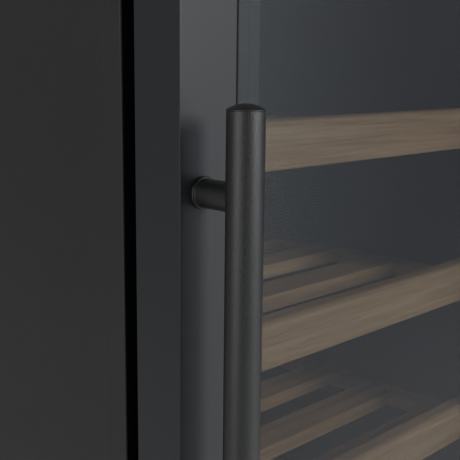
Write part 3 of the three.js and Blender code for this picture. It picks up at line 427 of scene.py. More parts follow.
def outline_into(mesh, outline, along, start, stop):
    """Adds a prism: an outline of (u, v) points run along x, y or z between start and stop."""
    order = {
        "x": lambda u, v, w: (w, u, v),
        "y": lambda u, v, w: (u, w, v),
        "z": lambda u, v, w: (u, v, w),
    }[along]
    ends = [[mesh.verts.new(order(u, v, w)) for u, v in outline] for w in (start, stop)]
    mesh.faces.new(ends[0])
    mesh.faces.new(list(reversed(ends[1])))
    for step in range(len(outline)):
        after = (step + 1) % len(outline)
        mesh.faces.new([ends[0][step], ends[1][step], ends[1][after], ends[0][after]])


def ring_path(center, radius, steps):
    """Points round an upright circle that faces the front, back to the first one."""
    angles = [2 * math.pi * step / steps for step in range(steps + 1)]
    return [Vector((center.x + radius * math.cos(a), center.y, center.z + radius * math.sin(a)))
            for a in angles]


def front_corners(low, high, inset=0.0):
    """Corners (x, z) of a box seen from the front, anticlockwise from the lower left."""
    left, right = low.x + inset, high.x - inset
    bottom, top = low.z + inset, high.z - inset
    return [(left, bottom), (right, bottom), (right, top), (left, top)]


def mitred_ring(mesh, loops, seat=None):
    """Joins a profile's outlines at four corners; the strip after point seat is material 1, in the
    face frame a band painted near-black as shade.
    """
    for one, two in zip(loops, loops[1:] + loops[:1]):
        for step in range(len(one)):
            after = (step + 1) % len(one)
            face = mesh.faces.new([one[step], one[after], two[after], two[step]])
            face.material_index = int(step == seat)


def rounded_path(points, radius, steps=6):
    """A path with its corners turned into bends of one radius."""
    path = [Vector(points[0])]
    for before, corner, after in zip(points, points[1:], points[2:]):
        before, corner, after = Vector(before), Vector(corner), Vector(after)
        back, ahead = (before - corner).normalized(), (after - corner).normalized()
        half = back.angle(ahead) / 2
        room = 0.49 * min((before - corner).length, (after - corner).length)
        cutback = min(radius / math.tan(half), room)
        first, last = corner + back * cutback, corner + ahead * cutback
        for step in range(steps + 1):
            share = step / steps
            path.append(first.lerp(corner, share).lerp(corner.lerp(last, share), share))
    path.append(Vector(points[-1]))
    return path


def tube_into(mesh, path, radius, sides=14, material=0):
    """Adds a closed round tube along a path."""
    angles = [2 * math.pi * step / sides for step in range(sides)]
    loops = []
    side = None
    for index, point in enumerate(path):
        before, after = path[max(index - 1, 0)], path[min(index + 1, len(path) - 1)]
        ahead = (after - before).normalized()
        if side is None:
            side = ahead.orthogonal().normalized()
        side = (side - ahead * side.dot(ahead)).normalized()
        other = ahead.cross(side)
        round_it = [side * math.cos(a) + other * math.sin(a) for a in angles]
        loops.append([mesh.verts.new(point + out * radius) for out in round_it])
    for lower, upper in zip(loops, loops[1:]):
        for step in range(sides):
            after = (step + 1) % sides
            face = mesh.faces.new([lower[step], lower[after], upper[after], upper[step]])
            face.material_index = material
    mesh.faces.new(list(reversed(loops[0]))).material_index = material
    mesh.faces.new(loops[-1]).material_index = material


def finish_piece(name, mesh, materials, body, replaces=(), smooth_angle=35.0):
    """Turns a bmesh into a piece of the object that rides on a body. Materials by name."""
    bmesh.ops.recalc_face_normals(mesh, faces=mesh.faces)
    data = bpy.data.meshes.new(name)
    mesh.to_mesh(data)
    mesh.free()
    for polygon in data.polygons:
        polygon.use_smooth = True
    data.set_sharp_from_angle(angle=math.radians(smooth_angle))
    piece = bpy.data.objects.new(name, data)
    bpy.context.scene.collection.objects.link(piece)
    for material in materials:
        data.materials.append(MATERIALS[material])
    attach(piece, body)
    if replaces:
        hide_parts(*replaces)
    even = piece.modifiers.new("even_shading", "WEIGHTED_NORMAL")
    even.keep_sharp = True
    even.weight = 100
    return piece


def give(material, *nodes):
    """Carried-over CAD nodes take a material, by name, in their slots."""
    for node in nodes:
        slots = NODES[node].data.materials
        slots.clear()
        slots.append(MATERIALS[material])


def middle(node):
    low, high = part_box(node)
    return (low + high) / 2


def screw_into(mesh, place, axis, radius=0.0035, material=0):
    """A pan-head screw with a cross recess, its head standing out of the surface."""
    slot_width, slot_reach = radius * 0.22, radius * 0.62
    height = radius * 0.62
    rim = height * 0.35

    def cross(angle):
        """Outline of the recess: the shorter of an arm's reach and its side."""
        off_axis = min(abs(math.sin(angle)), abs(math.cos(angle)))
        return min(slot_reach, slot_width / max(off_axis, 1e-6))

    def small_cross(angle):
        return cross(angle) * 0.7

    rings = [(0, 0), (radius, 0), (radius, rim), *arc((radius * 0.6, rim), radius * 0.4, 0, 75, 4)]
    top = rings[-1][1]
    rings += [(cross, top), (small_cross, top - height * 0.7), (0, top - height * 0.75)]
    turned_into(mesh, rings, place, axis, 48, material)


# ---- cabinet shell

MATERIALS = make_materials()


def sheet_panel(node):
    """A steel sheet whose cut edges are rolled over."""
    low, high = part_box(node)
    mesh = bmesh.new()
    box_into(mesh, low, high, 0.0005, 3)
    finish_piece(f"{node}_skin", mesh, ["cabinet_paint"], "cabinet", [node])


def front_frame():
    """Folded face frame; the near-black band laid on its front, where the door's gasket seats, is
    painted shade for the dark door gap.
    """
    low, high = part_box("front_frame")
    inner_low, inner_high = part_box("inner_liner")
    skin, fold, ease = 0.0015, 0.013, 0.0007
    clear = 0.0005
    opening = (inner_low.x - clear, inner_high.x + clear, inner_low.z - clear, inner_high.z + clear)
    outside = (low.x, high.x, low.z, high.z)
    # the frame's front face: the strip that takes the painted shade
    front_face = 3
    # (0 at the outer edge or 1 at the opening, metres outward of it, metres behind the front)
    section = [
        (0, 0, ease * 2), (0, -ease * 0.3, ease), (0, -ease, ease * 0.3), (0, -ease * 2, 0),
        (1, ease * 2, 0), (1, ease, ease * 0.3), (1, ease * 0.3, ease), (1, 0, ease * 2),
        (1, 0, fold), (1, skin, fold), (1, skin, skin), (0, -skin, skin),
        (0, -skin, high.y - low.y), (0, 0, high.y - low.y),
    ]

    def corner(share, outward, back, sx, sz):
        left, right, bottom, top = opening if share else outside
        x = right + outward if sx > 0 else left - outward
        z = top + outward if sz > 0 else bottom - outward
        return (x, low.y + back, z)

    mesh = bmesh.new()
    turns = ((-1, -1), (1, -1), (1, 1), (-1, 1))
    loops = [[mesh.verts.new(corner(*point, sx, sz)) for point in section] for sx, sz in turns]
    mitred_ring(mesh, loops, front_face)
    finish_piece("face_frame", mesh, ["cabinet_paint", "painted_shade_band"], "cabinet",
                 ["front_frame"])


def back_panel():
    """Rear sheet with pressed stiffening beads and the plugs of its foam filling holes."""
    low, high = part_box("back_panel")
    mesh = bmesh.new()
    bead, depth = 0.011, 0.0007
    first_bead, bead_pitch, beads = 0.16, 0.25, 5
    margin = 0.07
    outline = [(low.y, low.z), (high.y, low.z)]
    for row in range(beads):
        z = low.z + first_bead + row * bead_pitch
        outline += [(high.y, z - bead), (high.y - depth, z - bead * 0.5),
                    (high.y - depth, z + bead * 0.5), (high.y, z + bead)]
    outline += [(high.y, high.z), (low.y, high.z)]
    plain = [(low.y, low.z), (high.y, low.z), (high.y, high.z), (low.y, high.z)]
    outline_into(mesh, outline, "x", low.x + margin, high.x - margin)
    outline_into(mesh, plain, "x", low.x, low.x + margin)
    outline_into(mesh, plain, "x", high.x - margin, high.x)
    finish_piece("back_panel_skin", mesh, ["zinc_steel"], "cabinet", ["back_panel"],
                 20)
    plugs = bmesh.new()
    plug_rings = [(0, 0), (0.014, 0), (0.014, 0.0004), (0.012, 0.001), (0, 0.001)]
    plug_x, plug_z = 0.15, 1.50
    for x in (-plug_x, plug_x):
        turned_into(plugs, plug_rings, (x, high.y - 0.001, plug_z), "y", 48)
    finish_piece("foam_plugs", plugs, ["black_plastic"], "cabinet")


def rear_screws():
    low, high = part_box("rear_grille")
    mesh = bmesh.new()
    inset, sunk, radius = 0.012, 0.0022, 0.0036
    for x in (low.x + inset, 0.0, high.x - inset):
        for z in (low.z + inset, high.z - inset):
            screw_into(mesh, (x, high.y - sunk, z), "y", radius)
    low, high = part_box("back_panel")
    end, rows = 0.05, 5
    for x in (low.x + inset, high.x - inset):
        for step in range(rows):
            z = low.z + end + step * (high.z - low.z - 2 * end) / (rows - 1)
            screw_into(mesh, (x, high.y - sunk, z), "y", radius)
    finish_piece("rear_screws", mesh, ["screw_zinc"], "cabinet")


def inlet_pins():
    low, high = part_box("power_inlet")
    center = (low + high) / 2
    mesh = bmesh.new()
    root, tip = high.y - 0.018, high.y - 0.003
    for dx, dz in ((-0.0065, -0.0015), (0, 0.002), (0.0065, -0.0015)):
        x, z = center.x + dx, center.z + dz
        box_into(mesh, (x - 0.001, root, z - 0.002), (x + 0.001, tip, z + 0.002), 0.0003, 2)
    finish_piece("inlet_pins", mesh, ["pin_steel"], "cabinet")


def plinth():
    """Moulded toe grille: rounded slots seen as separate bars between its margins."""
    low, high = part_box("plinth_grille")
    mesh = bmesh.new()
    margin, bar, lap = 0.050, 0.0035, 0.001
    rows, bays = 6, 8
    left, right = low.x + margin, high.x - margin
    slot_low, slot_high = low.z + 0.012, high.z - 0.010
    box_into(mesh, low, (high.x, high.y, slot_low), 0.0009)
    box_into(mesh, (low.x, low.y, slot_high), high, 0.0009)
    box_into(mesh, (low.x, low.y, slot_low - lap), (left, high.y, slot_high + lap), 0.0006)
    box_into(mesh, (right, low.y, slot_low - lap), (high.x, high.y, slot_high + lap), 0.0006)
    pitch = (slot_high - slot_low) / rows
    for row in range(1, rows):
        z = slot_low + row * pitch
        rear = low.y + 0.0052
        outline = [(low.y, z - bar / 2), (low.y + 0.0008, z - bar / 2 - 0.0008), (rear, z + 0.0012),
                   (rear, z + 0.0012 + bar), (low.y + 0.0008, z + bar / 2)]
        outline_into(mesh, outline, "x", left - lap, right + lap)
    for step in range(1, bays):
        x = left + step * (right - left) / bays
        box_into(mesh, (x - 0.002, low.y + 0.0018, slot_low - lap),
                 (x + 0.002, high.y, slot_high + lap), 0.0004)
    finish_piece("plinth_louvres", mesh, ["black_plastic"], "cabinet",
                 ["plinth_grille"])


def levelling_foot(index):
    """Rubber-soled foot with its hexagon nut and threaded stem."""
    node = f"levelling_foot_{index}"
    low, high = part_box(node)
    x, y = (low.x + high.x) / 2, (low.y + high.y) / 2
    radius = (high.x - low.x) / 2
    mesh = bmesh.new()
    rings = [(0, 0), (radius - 0.003, 0), *arc((radius - 0.002, 0.002), 0.002, -90, 0, 4),
             *arc((radius - 0.002, 0.006), 0.002, 0, 90, 4),
             (0.0125, 0.0105), (0.0115, 0.011), (0, 0.011)]
    turned_into(mesh, rings, (x, y, 0), "z", 64, 0)
    nut_low, nut_high, nut_radius = 0.0108, 0.0146, 0.0085

    def hexagon(angle):
        turn = math.pi / 3
        return nut_radius * math.cos(math.pi / 6) / math.cos(angle % turn - turn / 2)

    nut = [(0, nut_low), (hexagon, nut_low), (hexagon, nut_high), (0, nut_high)]
    turned_into(mesh, nut, (x, y, 0), "z", 48, 1)
    stem = [(0, nut_high - 0.0001)]
    root, crest, pitch, turns = 0.0043, 0.0049, 0.0022, 14
    for turn in range(turns):
        base = nut_high + turn * pitch
        stem += [(root, base), (crest, base + 0.0008), (crest, base + 0.0012), (root, base + 0.002)]
    stem += [(0.0040, high.z - 0.0003), (0, high.z - 0.0003)]
    turned_into(mesh, stem, (x, y, 0), "z", 32, 1)
    finish_piece(f"foot_{index}", mesh, ["rubber", "screw_zinc"], f"foot_{index}", [node])


# ---- cooling unit


def compressor():
    low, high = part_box("compressor")
    center = (low + high) / 2
    shell_radius = 0.0735
    base = low.z
    mesh = bmesh.new()
    seam_radius, upper_radius = shell_radius + 0.0014, shell_radius - 0.001
    rings = [(0, 0.006), (shell_radius - 0.012, 0.006),
             *arc((shell_radius - 0.014, 0.020), 0.014, -80, 0, 5), (shell_radius, 0.074),
             (seam_radius, 0.076), (seam_radius, 0.081), (upper_radius, 0.083),
             (upper_radius, 0.110), *arc((shell_radius - 0.031, 0.110), 0.030, 0, 62, 8),
             (0.022, 0.1445), (0, 0.1465)]
    turned_into(mesh, rings, (center.x, center.y, base), "z", 72, 0)
    plate_half = 0.058
    box_into(mesh, (low.x, center.y - plate_half, base + 0.0045),
             (high.x, center.y + plate_half, base + 0.0072), 0.001, 2, 0)
    for sx in (-1, 1):
        for sy in (-1, 1):
            place = (center.x + sx * 0.082, center.y + sy * 0.047, base)
            rings = [(0.004, 0), (0.0105, 0), (0.011, 0.002), (0.008, 0.0045), (0.008, 0.0072),
                     (0.011, 0.010), (0.0105, 0.0125), (0.004, 0.0125), (0.004, 0)]
            turned_into(mesh, rings, place, "z", 32, 1)
    box_into(mesh, (center.x - 0.024, center.y - shell_radius - 0.001, base + 0.050),
             (center.x + 0.024, center.y - shell_radius + 0.020, base + 0.100), 0.004, 3, 2)
    finish_piece("compressor_shell", mesh, ["black_steel", "rubber", "black_plastic"], "cabinet",
                 ["compressor"])


def refrigerant_pipes():
    comp = middle("compressor")
    condenser_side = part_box("condenser")[1]
    mesh = bmesh.new()
    top = condenser_side.z - 0.02
    bend = 0.012
    x, z = comp.x - 0.060, comp.z + 0.03
    discharge = rounded_path([
        (x, comp.y + 0.045, z), (x, comp.y + 0.075, z), (x, comp.y + 0.088, top),
        (condenser_side.x + 0.02, comp.y + 0.088, top),
        (condenser_side.x - 0.002, comp.y + 0.088, top),
    ], bend)
    tube_into(mesh, discharge, 0.003)
    x, z = comp.x + 0.045, comp.z - 0.01
    suction = rounded_path([
        (x, comp.y + 0.050, z), (x, comp.y + 0.085, z),
        (x, comp.y + 0.092, comp.z + 0.125), (x, comp.y + 0.060, comp.z + 0.128),
    ], bend)
    tube_into(mesh, suction, 0.004)
    finish_piece("refrigerant_pipes", mesh, ["copper"], "cabinet")


def tube_bends(node, name, axis_y, rows):
    """Hairpin bends of the tube that threads a fin pack, standing out of its right side."""
    low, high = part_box(node)
    mesh = bmesh.new()
    end = 0.02
    pitch = (high.z - low.z - 2 * end) / (rows * 2 - 1)
    root, tip = high.x - 0.004, high.x + 0.011
    for row in range(rows):
        z = low.z + end + row * 2 * pitch
        ends = ((root, z), (tip, z), (tip, z + pitch), (root, z + pitch))
        path = rounded_path([(x, axis_y, up) for x, up in ends], pitch * 0.45)
        tube_into(mesh, path, 0.0032)
    finish_piece(name, mesh, ["copper"], "cabinet")


def fan_rotor(node, body, axis, blade_count):
    """Moulded rotor: a domed hub and swept blades with a rounded tip."""
    low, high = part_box(node)
    center = (low + high) / 2
    along = {"x": 0, "y": 1}[axis.strip("-")]
    depth = (high - low)[along]
    reach = max((high - low)[other] for other in range(3) if other != along) / 2 - 0.0006
    hub = reach * 0.36
    matrix = Matrix.Translation(center) @ AXIS_TURNS[axis] @ Matrix.Translation((0, 0, -depth / 2))
    mesh = bmesh.new()
    rings = [(0, 0.0005), (hub - 0.001, 0.0005), (hub, 0.0015), (hub, depth - 0.003),
             *arc((hub - 0.003, depth - 0.0035), 0.003, 0, 90, 4),
             (0.004, depth - 0.0003), (0, depth - 0.0008)]
    turned_into(mesh, rings, (0, 0, 0), "z", 48)
    chord_steps, span_steps = 8, 8
    thickness = 0.0007
    for blade in range(blade_count):
        start = 2 * math.pi * blade / blade_count
        sides = []
        for face in (1, -1):
            grid = []
            for span in range(span_steps + 1):
                out = span / span_steps
                radius = hub * 0.9 + (reach - hub * 0.9) * out
                width = math.radians(50 - 8 * out)
                sweep = math.radians(14) * out
                row = []
                for chord in range(chord_steps + 1):
                    share = chord / chord_steps
                    angle = start + sweep + width * (share - 0.5)
                    camber = 0.10 * math.sin(math.pi * share)
                    height = depth * (0.13 + (0.72 - 0.14 * out) * share + camber)
                    row.append(mesh.verts.new((radius * math.cos(angle), radius * math.sin(angle),
                                               height + face * thickness)))
                grid.append(row)
            sides.append(grid)
        for grid in sides:
            for one, two in zip(grid, grid[1:]):
                for step in range(chord_steps):
                    mesh.faces.new([one[step], one[step + 1], two[step + 1], two[step]])
        rim = [
            [grid[span][0] for span in range(span_steps + 1)]
            + [grid[-1][chord] for chord in range(1, chord_steps + 1)]
            + [grid[span][-1] for span in range(span_steps - 1, -1, -1)]
            + [grid[0][chord] for chord in range(chord_steps - 1, 0, -1)]
            for grid in sides
        ]
        count = len(rim[0])
        for step in range(count):
            after = (step + 1) % count
            mesh.faces.new([rim[0][step], rim[0][after], rim[1][after], rim[1][step]])
    bmesh.ops.transform(mesh, matrix=matrix, verts=mesh.verts)
    finish_piece(f"{body}_blades", mesh, ["black_plastic"], body, [node])


def cover_screws():
    low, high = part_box("evaporator_cover")
    mesh = bmesh.new()
    inset = 0.012
    for x in (low.x + inset, high.x - inset):
        for z in (low.z + inset, (low.z + high.z) / 2, high.z - inset):
            screw_into(mesh, (x, low.y + 0.0004, z), "-y", 0.0036)
    finish_piece("cover_screws", mesh, ["screw_zinc"], "cabinet")
    fan = middle("evaporator_fan_rotor")
    guard = bmesh.new()
    front = low.y - 0.0016
    for ring in range(1, 5):
        radius = 0.012 + ring * 0.0112
        tube_into(guard, ring_path(Vector((fan.x, front, fan.z)), radius, 60), 0.0011, 8)
    for spoke in range(4):
        angle = math.pi / 4 + spoke * math.pi / 2
        ends = [Vector((fan.x + r * math.cos(angle), front + 0.0014, fan.z + r * math.sin(angle)))
                for r in (0.018, 0.064)]
        tube_into(guard, ends, 0.0012, 8)
    finish_piece("fan_guard", guard, ["black_steel"], "cabinet")


# ---- controls and lamp


def push_button(index):
    node = f"control_button_{index}"
    low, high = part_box(node)
    center = (low + high) / 2
    radius = (high.x - low.x) / 2
    length = high.y - low.y
    mesh = bmesh.new()
    ease = 0.0009
    rings = [(0, 0), (radius, 0), (radius, length - ease),
             *arc((radius - ease, length - ease), ease, 0, 90, 4),
             (radius * 0.75, length - 0.0001), (radius * 0.4, length - 0.0004),
             (0, length - 0.0005)]
    turned_into(mesh, rings, (center.x, high.y, center.z), "-y", 56, 0)
    front = low.y - 0.00005
    bar, reach = 0.0005, 0.0019
    marks = {1: ["h"], 2: ["h", "v"], 3: ["o"]}[index]
    for mark in marks:
        if mark == "o":
            middle_of_mark = Vector((center.x, front + 0.0004, center.z))
            tube_into(mesh, ring_path(middle_of_mark, reach, 40), 0.0003, 8, 1)
            continue
        half_x, half_z = (reach, bar / 2) if mark == "h" else (bar / 2, reach)
        box_into(mesh, (center.x - half_x, front, center.z - half_z),
                 (center.x + half_x, front + 0.0008, center.z + half_z), 0.0001, 1, 1)
    finish_piece(f"button_{index}_cap", mesh, ["button", "digits"], f"button_{index}",
                 [node])


def display_digits():
    """A plain seven-segment temperature reading behind the display's lens."""
    low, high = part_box("display_lens")
    mesh = bmesh.new()
    front = low.y - 0.00015
    height, width, bar = 0.0105, 0.0056, 0.0010
    center_z = (low.z + high.z) / 2
    segments = {
        "top": (0, 1, 1, 1), "middle": (0, 0.5, 1, 0.5), "bottom": (0, 0, 1, 0),
        "upper_right": (1, 0.5, 1, 1), "lower_left": (0, 0, 0, 0.5), "lower_right": (1, 0, 1, 0.5),
    }
    digits = {
        "1": ("upper_right", "lower_right"),
        "2": ("top", "upper_right", "middle", "lower_left", "bottom"),
    }
    gap = bar * 0.65
    first_digit, digit_pitch = -0.0085, 0.0092
    for place, digit in enumerate("12"):
        left = (low.x + high.x) / 2 + first_digit + place * digit_pitch
        for name in digits[digit]:
            x0, z0, x1, z1 = segments[name]
            start_x, start_z = left + x0 * width, center_z + (z0 - 0.5) * height
            stop_x, stop_z = left + x1 * width, center_z + (z1 - 0.5) * height
            trim_x, trim_z = (gap, -bar / 2) if z0 == z1 else (-bar / 2, gap)
            box_into(mesh, (start_x + trim_x, front, start_z + trim_z),
                     (stop_x - trim_x, front + 0.0003, stop_z - trim_z))
    degree = Vector(((low.x + high.x) / 2 + 0.0125, front, center_z + height * 0.42))
    tube_into(mesh, ring_path(degree, 0.0011, 24), 0.0003, 6)
    finish_piece("display_digits", mesh, ["digits"], "cabinet")


def lamp_lens():
    """Frosted cover of the light strip, with flutes along its length."""
    low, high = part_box("lamp_cover")
    mesh = bmesh.new()
    steps = 24
    flute = 0.00035
    outline = [(low.y, high.z)]
    for step in range(steps + 1):
        share = step / steps
        y = low.y + (high.y - low.y) * share
        fall = (high.z - low.z - flute) * math.sin(math.pi * min(max(share, 0.02), 0.98)) ** 0.45
        outline.append((y, high.z - fall - flute * (step % 2)))
    outline.append((high.y, high.z))
    outline_into(mesh, outline, "x", low.x, high.x)
    finish_piece("lamp_lens", mesh, ["lamp"], "cabinet", ["lamp_cover"], 50)


# ---- door


def door_frame():
    """Four mitred lengths of one profile, each with eased edges and its own drawing lines."""
    low, high = DOOR_LOW, DOOR_HIGH
    width = 0.049
    seam = 0.00012
    ease = 0.0011
    corners, inside = front_corners(low, high), front_corners(low, high, width)
    wall = 0.0025
    cover_seat = 0.0033
    depth = high.y - low.y
    eased = [(ease * math.sin(a), ease - ease * math.cos(a)) for a in (0, math.pi / 4, math.pi / 2)]
    # (how far in from the outer edge, how far behind the face) round the hollow profile
    section = [
        *[(ease - out, back) for out, back in reversed(eased)],
        *[(width - ease + out, back) for out, back in eased],
        (width, depth - cover_seat), (width - wall, depth - cover_seat), (width - wall, wall),
        (wall, wall), (wall, depth), (0.0004, depth), (0, depth - 0.0004),
    ]
    for index, name in enumerate(("bottom", "right", "top", "left")):
        outer = [Vector((*corners[index], 0)), Vector((*corners[(index + 1) % 4], 0))]
        inner = [Vector((*inside[index], 0)), Vector((*inside[(index + 1) % 4], 0))]
        along = (outer[1] - outer[0]).normalized()
        mesh = bmesh.new()
        ends = []
        for end in (0, 1):
            shift = along * (seam if end == 0 else -seam)
            loop = []
            for inset, back in section:
                point = outer[end].lerp(inner[end], inset / width) + shift
                loop.append(mesh.verts.new((point.x, low.y + back, point.y)))
            ends.append(loop)
        count = len(section)
        for step in range(count):
            after = (step + 1) % count
            mesh.faces.new([ends[0][step], ends[0][after], ends[1][after], ends[1][step]])
        mesh.faces.new(list(reversed(ends[0])))
        mesh.faces.new(ends[1])
        material = "door_rail" if index % 2 == 0 else "door_upright"
        finish_piece(f"door_profile_{name}", mesh, [material], "door",
                     ["door_frame"], 30)


def glass_seal():
    """Black bead in the joint between the door's frame and its flush glass."""
    low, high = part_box("door_glass_outer")
    mesh = bmesh.new()
    gap = 0.0015
    near, far = 0.0001, gap - 0.0001
    front = low.y + 0.0007
    left, right, bottom, top = low.x, high.x, low.z, high.z
    # (from x, from z, to x, to z) of the bead's four lengths
    for x0, z0, x1, z1 in (
        (left - far, bottom - gap, left - near, top + gap),
        (right + near, bottom - gap, right + far, top + gap),
        (left, bottom - far, right, bottom - near),
        (left, top + near, right, top + far),
    ):
        box_into(mesh, (x0, front, z0), (x1, high.y, z1), 0.0003)
    finish_piece("glass_seal", mesh, ["rubber"], "door")


def door_gasket():
    """Magnetic gasket pressed between door and cabinet: bellows with a flat magnet pocket."""
    low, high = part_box("door_gasket")
    press = 0.00025
    low.y -= press
    high.y += press
    depth = high.y - low.y
    width = 0.014
    # (how far in from the outer edge, how far behind the front) round the bellows
    section = [(0.001, 0), (0.013, 0), (0.0125, 0.0018), (0.0105, 0.0036), (0.0125, 0.0056),
               (0.0125, 0.0076), (0.014, 0.0090), (0.014, depth - 0.0006), (0.0134, depth),
               (0.0006, depth), (0, depth - 0.0006), (0, 0.0090), (0.0015, 0.0076),
               (0.0015, 0.0056), (0.0035, 0.0036), (0.0015, 0.0018)]
    corners, inside = front_corners(low, high), front_corners(low, high, width)
    mesh = bmesh.new()
    loops = []
    for corner, inner in zip(corners, inside):
        loop = []
        for inset, back in section:
            x = corner[0] + (inner[0] - corner[0]) * inset / width
            z = corner[1] + (inner[1] - corner[1]) * inset / width
            loop.append(mesh.verts.new((x, low.y + back, z)))
        loops.append(loop)
    mitred_ring(mesh, loops)
    finish_piece("gasket_bellows", mesh, ["rubber"], "door", ["door_gasket"], 40)


def handle_bar():
    """The round bar: each end is bored for its cap, and the rim has a fine chamfer."""
    low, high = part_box("handle_bar")
    center = (low + high) / 2
    radius = (high.x - low.x) / 2
    edge = 0.00015
    bore = radius - 0.0024
    seat = 0.006
    length = high.z - low.z
    rings = [(0, seat), (bore, seat), (bore, 0), (radius - edge, 0), (radius, edge),
             (radius, length - edge), (radius - edge, length), (bore, length),
             (bore, length - seat), (0, length - seat)]
    mesh = bmesh.new()
    turned_into(mesh, rings, (center.x, center.y, low.z), "z", 128)
    finish_piece("handle_tube", mesh, ["handle_black"], "door", ["handle_bar"])


def handle_cap(end):
    """Domed cap: a crisp rim over the bar's end, then a low crown."""
    low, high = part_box(f"handle_cap_{end}")
    radius = (high.x - low.x) / 2
    center = ((low.x + high.x) / 2, (low.y + high.y) / 2)
    spigot = radius - 0.0028
    total = high.z - low.z
    base = total - 0.0043
    rise = 0.0034
    rim = total - rise
    sphere = (radius * radius + rise * rise) / (2 * rise)
    reach = math.asin((radius - 0.0003) / sphere)
    steps = 14
    angles = [reach * (1 - step / steps) for step in range(steps)]
    crown = [(sphere * math.sin(a), rim + sphere * math.cos(a) - sphere + rise) for a in angles]
    rings = [(0, 0), (spigot - 0.0005, 0), (spigot, 0.0005), (spigot, base + 0.0001),
             (radius - 0.0001, base + 0.0001), (radius, base + 0.0002), (radius, rim - 0.0002),
             *crown, (0, total)]
    mesh = bmesh.new()
    foot, axis = (low.z, "z") if end == "upper" else (high.z, "-z")
    turned_into(mesh, rings, (*center, foot), axis, 128)
    finish_piece(f"handle_dome_{end}", mesh, ["handle_black"], "door",
                 [f"handle_cap_{end}"], 14)


def handle_post(end):
    """Turned post with a stepped, chamfered foot on the door, run into the side of the bar."""
    low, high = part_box(f"handle_post_{end}")
    center = (low + high) / 2
    foot = (high.x - low.x) / 2
    radius = foot - 0.00125
    length = high.y - low.y
    rings = [(0, 0), (foot - 0.0004, 0), (foot, 0.0004), (foot, 0.0019),
             *arc((foot - 0.0006, 0.0019), 0.0006, 0, 80, 3), (radius + 0.0002, 0.0027),
             (radius, 0.0031), (radius, length), (0, length)]
    mesh = bmesh.new()
    turned_into(mesh, rings, (center.x, high.y, center.z), "-y", 96)
    finish_piece(f"handle_stem_{end}", mesh, ["handle_black"], "door",
                 [f"handle_post_{end}"])


# ---- hinges


def hinge_screws():
    low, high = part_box("hinge_bracket_upper")
    mesh = bmesh.new()
    for dx in (0.015, 0.044):
        for dy in (0.018, 0.048):
            screw_into(mesh, (low.x + dx, high.y - dy, high.z - 0.0005), "z", 0.0045)
    finish_piece("hinge_screws", mesh, ["screw_zinc"], "cabinet")


def hinge_pin(end, axis):
    node = f"hinge_pin_{end}"
    low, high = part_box(node)
    center = (low + high) / 2
    length = high.z - low.z
    rings = [(0, 0), (0.0062, 0), (0.007, 0.0006), (0.007, 0.0016), (0.0066, 0.002), (0.004, 0.002),
             (0.004, length - 0.001), (0.003, length), (0, length)]
    mesh = bmesh.new()
    base = high.z if axis == "-z" else low.z
    turned_into(mesh, rings, (center.x, center.y, base), axis, 64)
    finish_piece(f"pin_{end}", mesh, ["pin_steel"], "cabinet", [node])


# ---- shelves


def shelf_front(index):
    """Solid front strip with a rounded upper edge and eased lower edges."""
    node = f"shelf_front_{index}"
    low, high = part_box(node)
    soft, ease = 0.0085, 0.0012
    front = [(low.y + soft - soft * math.sin(a), high.z - soft + soft * math.cos(a))
             for a in (math.pi / 2 * step / 8 for step in range(9))]
    back = [(high.y - ease + ease * math.sin(a), high.z - ease + ease * math.cos(a))
            for a in (math.pi / 2 * (1 - step / 3) for step in range(4))]
    outline = [(low.y + ease, low.z), (high.y - ease, low.z), (high.y, low.z + ease), *back, *front,
               (low.y, low.z + ease)]
    mesh = bmesh.new()
    outline_into(mesh, outline, "x", low.x, high.x)
    finish_piece(f"shelf_strip_{index}", mesh, ["beech_x"], "cabinet", [node])


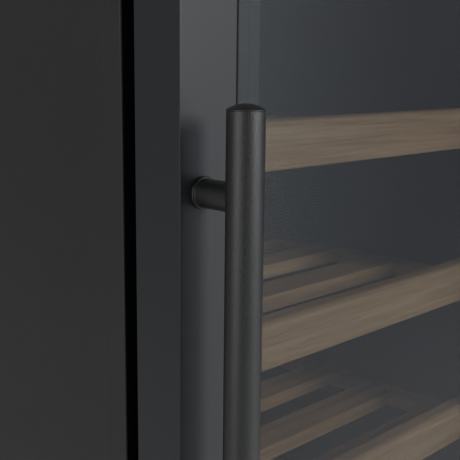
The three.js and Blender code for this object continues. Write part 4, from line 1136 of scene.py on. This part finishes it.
def shelf_rack(index):
    """Slats let into two side rails, with the screws that hold them."""
    node = f"shelf_rack_{index}"
    low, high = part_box(node)
    slat, rail, count = 0.044, 0.024, 5
    ease = 0.0018
    mesh = bmesh.new()
    for left, right in ((low.x, low.x + rail), (high.x - rail, high.x)):
        box_into(mesh, (left, low.y, low.z), (right, high.y, high.z - 0.0006), ease, 3, 1)
    pitch = (high.y - low.y - slat) / (count - 1)
    for step in range(count):
        y = low.y + step * pitch
        box_into(mesh, (low.x + 0.0012, y + 0.0002, low.z + 0.0006),
                 (high.x - 0.0012, y + slat - 0.0002, high.z), ease, 3, 0)
        for x in (low.x + rail / 2, high.x - rail / 2):
            screw_into(mesh, (x, y + slat / 2, high.z - 0.0022), "z", 0.0032, 2)
    finish_piece(f"shelf_slats_{index}", mesh, ["beech_x", "beech_y", "screw_zinc"], "cabinet",
                 [node])


# ---- floor


def floor():
    made = coated("floor", (0.62, 0.62, 0.615), 0.6, 300.0, 0.00004, 0.02)
    mesh = bmesh.new()
    bmesh.ops.create_grid(mesh, x_segments=1, y_segments=1, size=14.0)
    data = bpy.data.meshes.new("floor")
    mesh.to_mesh(data)
    mesh.free()
    data.materials.append(made.material)
    plane = bpy.data.objects.new("floor", data)
    bpy.context.scene.collection.objects.link(plane)


# ---- assembly


def carried_over():
    give("cabinet_paint", "top_panel")
    give("zinc_steel", "base_pan", "rear_grille")
    give("black_steel", "hinge_bracket_upper", "hinge_bracket_lower")
    give("liner", "inner_liner", "evaporator_cover")
    give("foam", "insulation_foam")
    give("smoked_glass", "door_glass_outer")
    give("clear_glass", "door_glass_inner")
    give("display", "display_lens")
    give("fin_aluminium", "condenser", "evaporator")
    give("bush", "hinge_bush_lower", "hinge_bush_upper")
    give("black_plastic", "power_inlet", "control_panel", "door_inner_frame",
         "glazing_spacer", "condenser_fan_mount", "evaporator_fan_mount")


make_camera()
make_lamps()
look_settings()
floor()
carried_over()
sheet_panel("side_panel_left")
sheet_panel("side_panel_right")
front_frame()
back_panel()
rear_screws()
inlet_pins()
plinth()
for number in range(1, 5):
    levelling_foot(number)
compressor()
refrigerant_pipes()
tube_bends("condenser", "condenser_bends", middle("condenser").y, 3)
tube_bends("evaporator", "evaporator_bends", middle("evaporator").y, 4)
fan_rotor("condenser_fan_rotor", "condenser_fan", "-x", 5)
fan_rotor("evaporator_fan_rotor", "evaporator_fan", "-y", 7)
cover_screws()
for number in range(1, 4):
    push_button(number)
display_digits()
lamp_lens()
door_frame()
glass_seal()
door_gasket()
handle_bar()
for which in ("upper", "lower"):
    handle_cap(which)
    handle_post(which)
hinge_screws()
hinge_pin("upper", "-z")
hinge_pin("lower", "z")
for number in range(1, 8):
    shelf_front(number)
    shelf_rack(number)
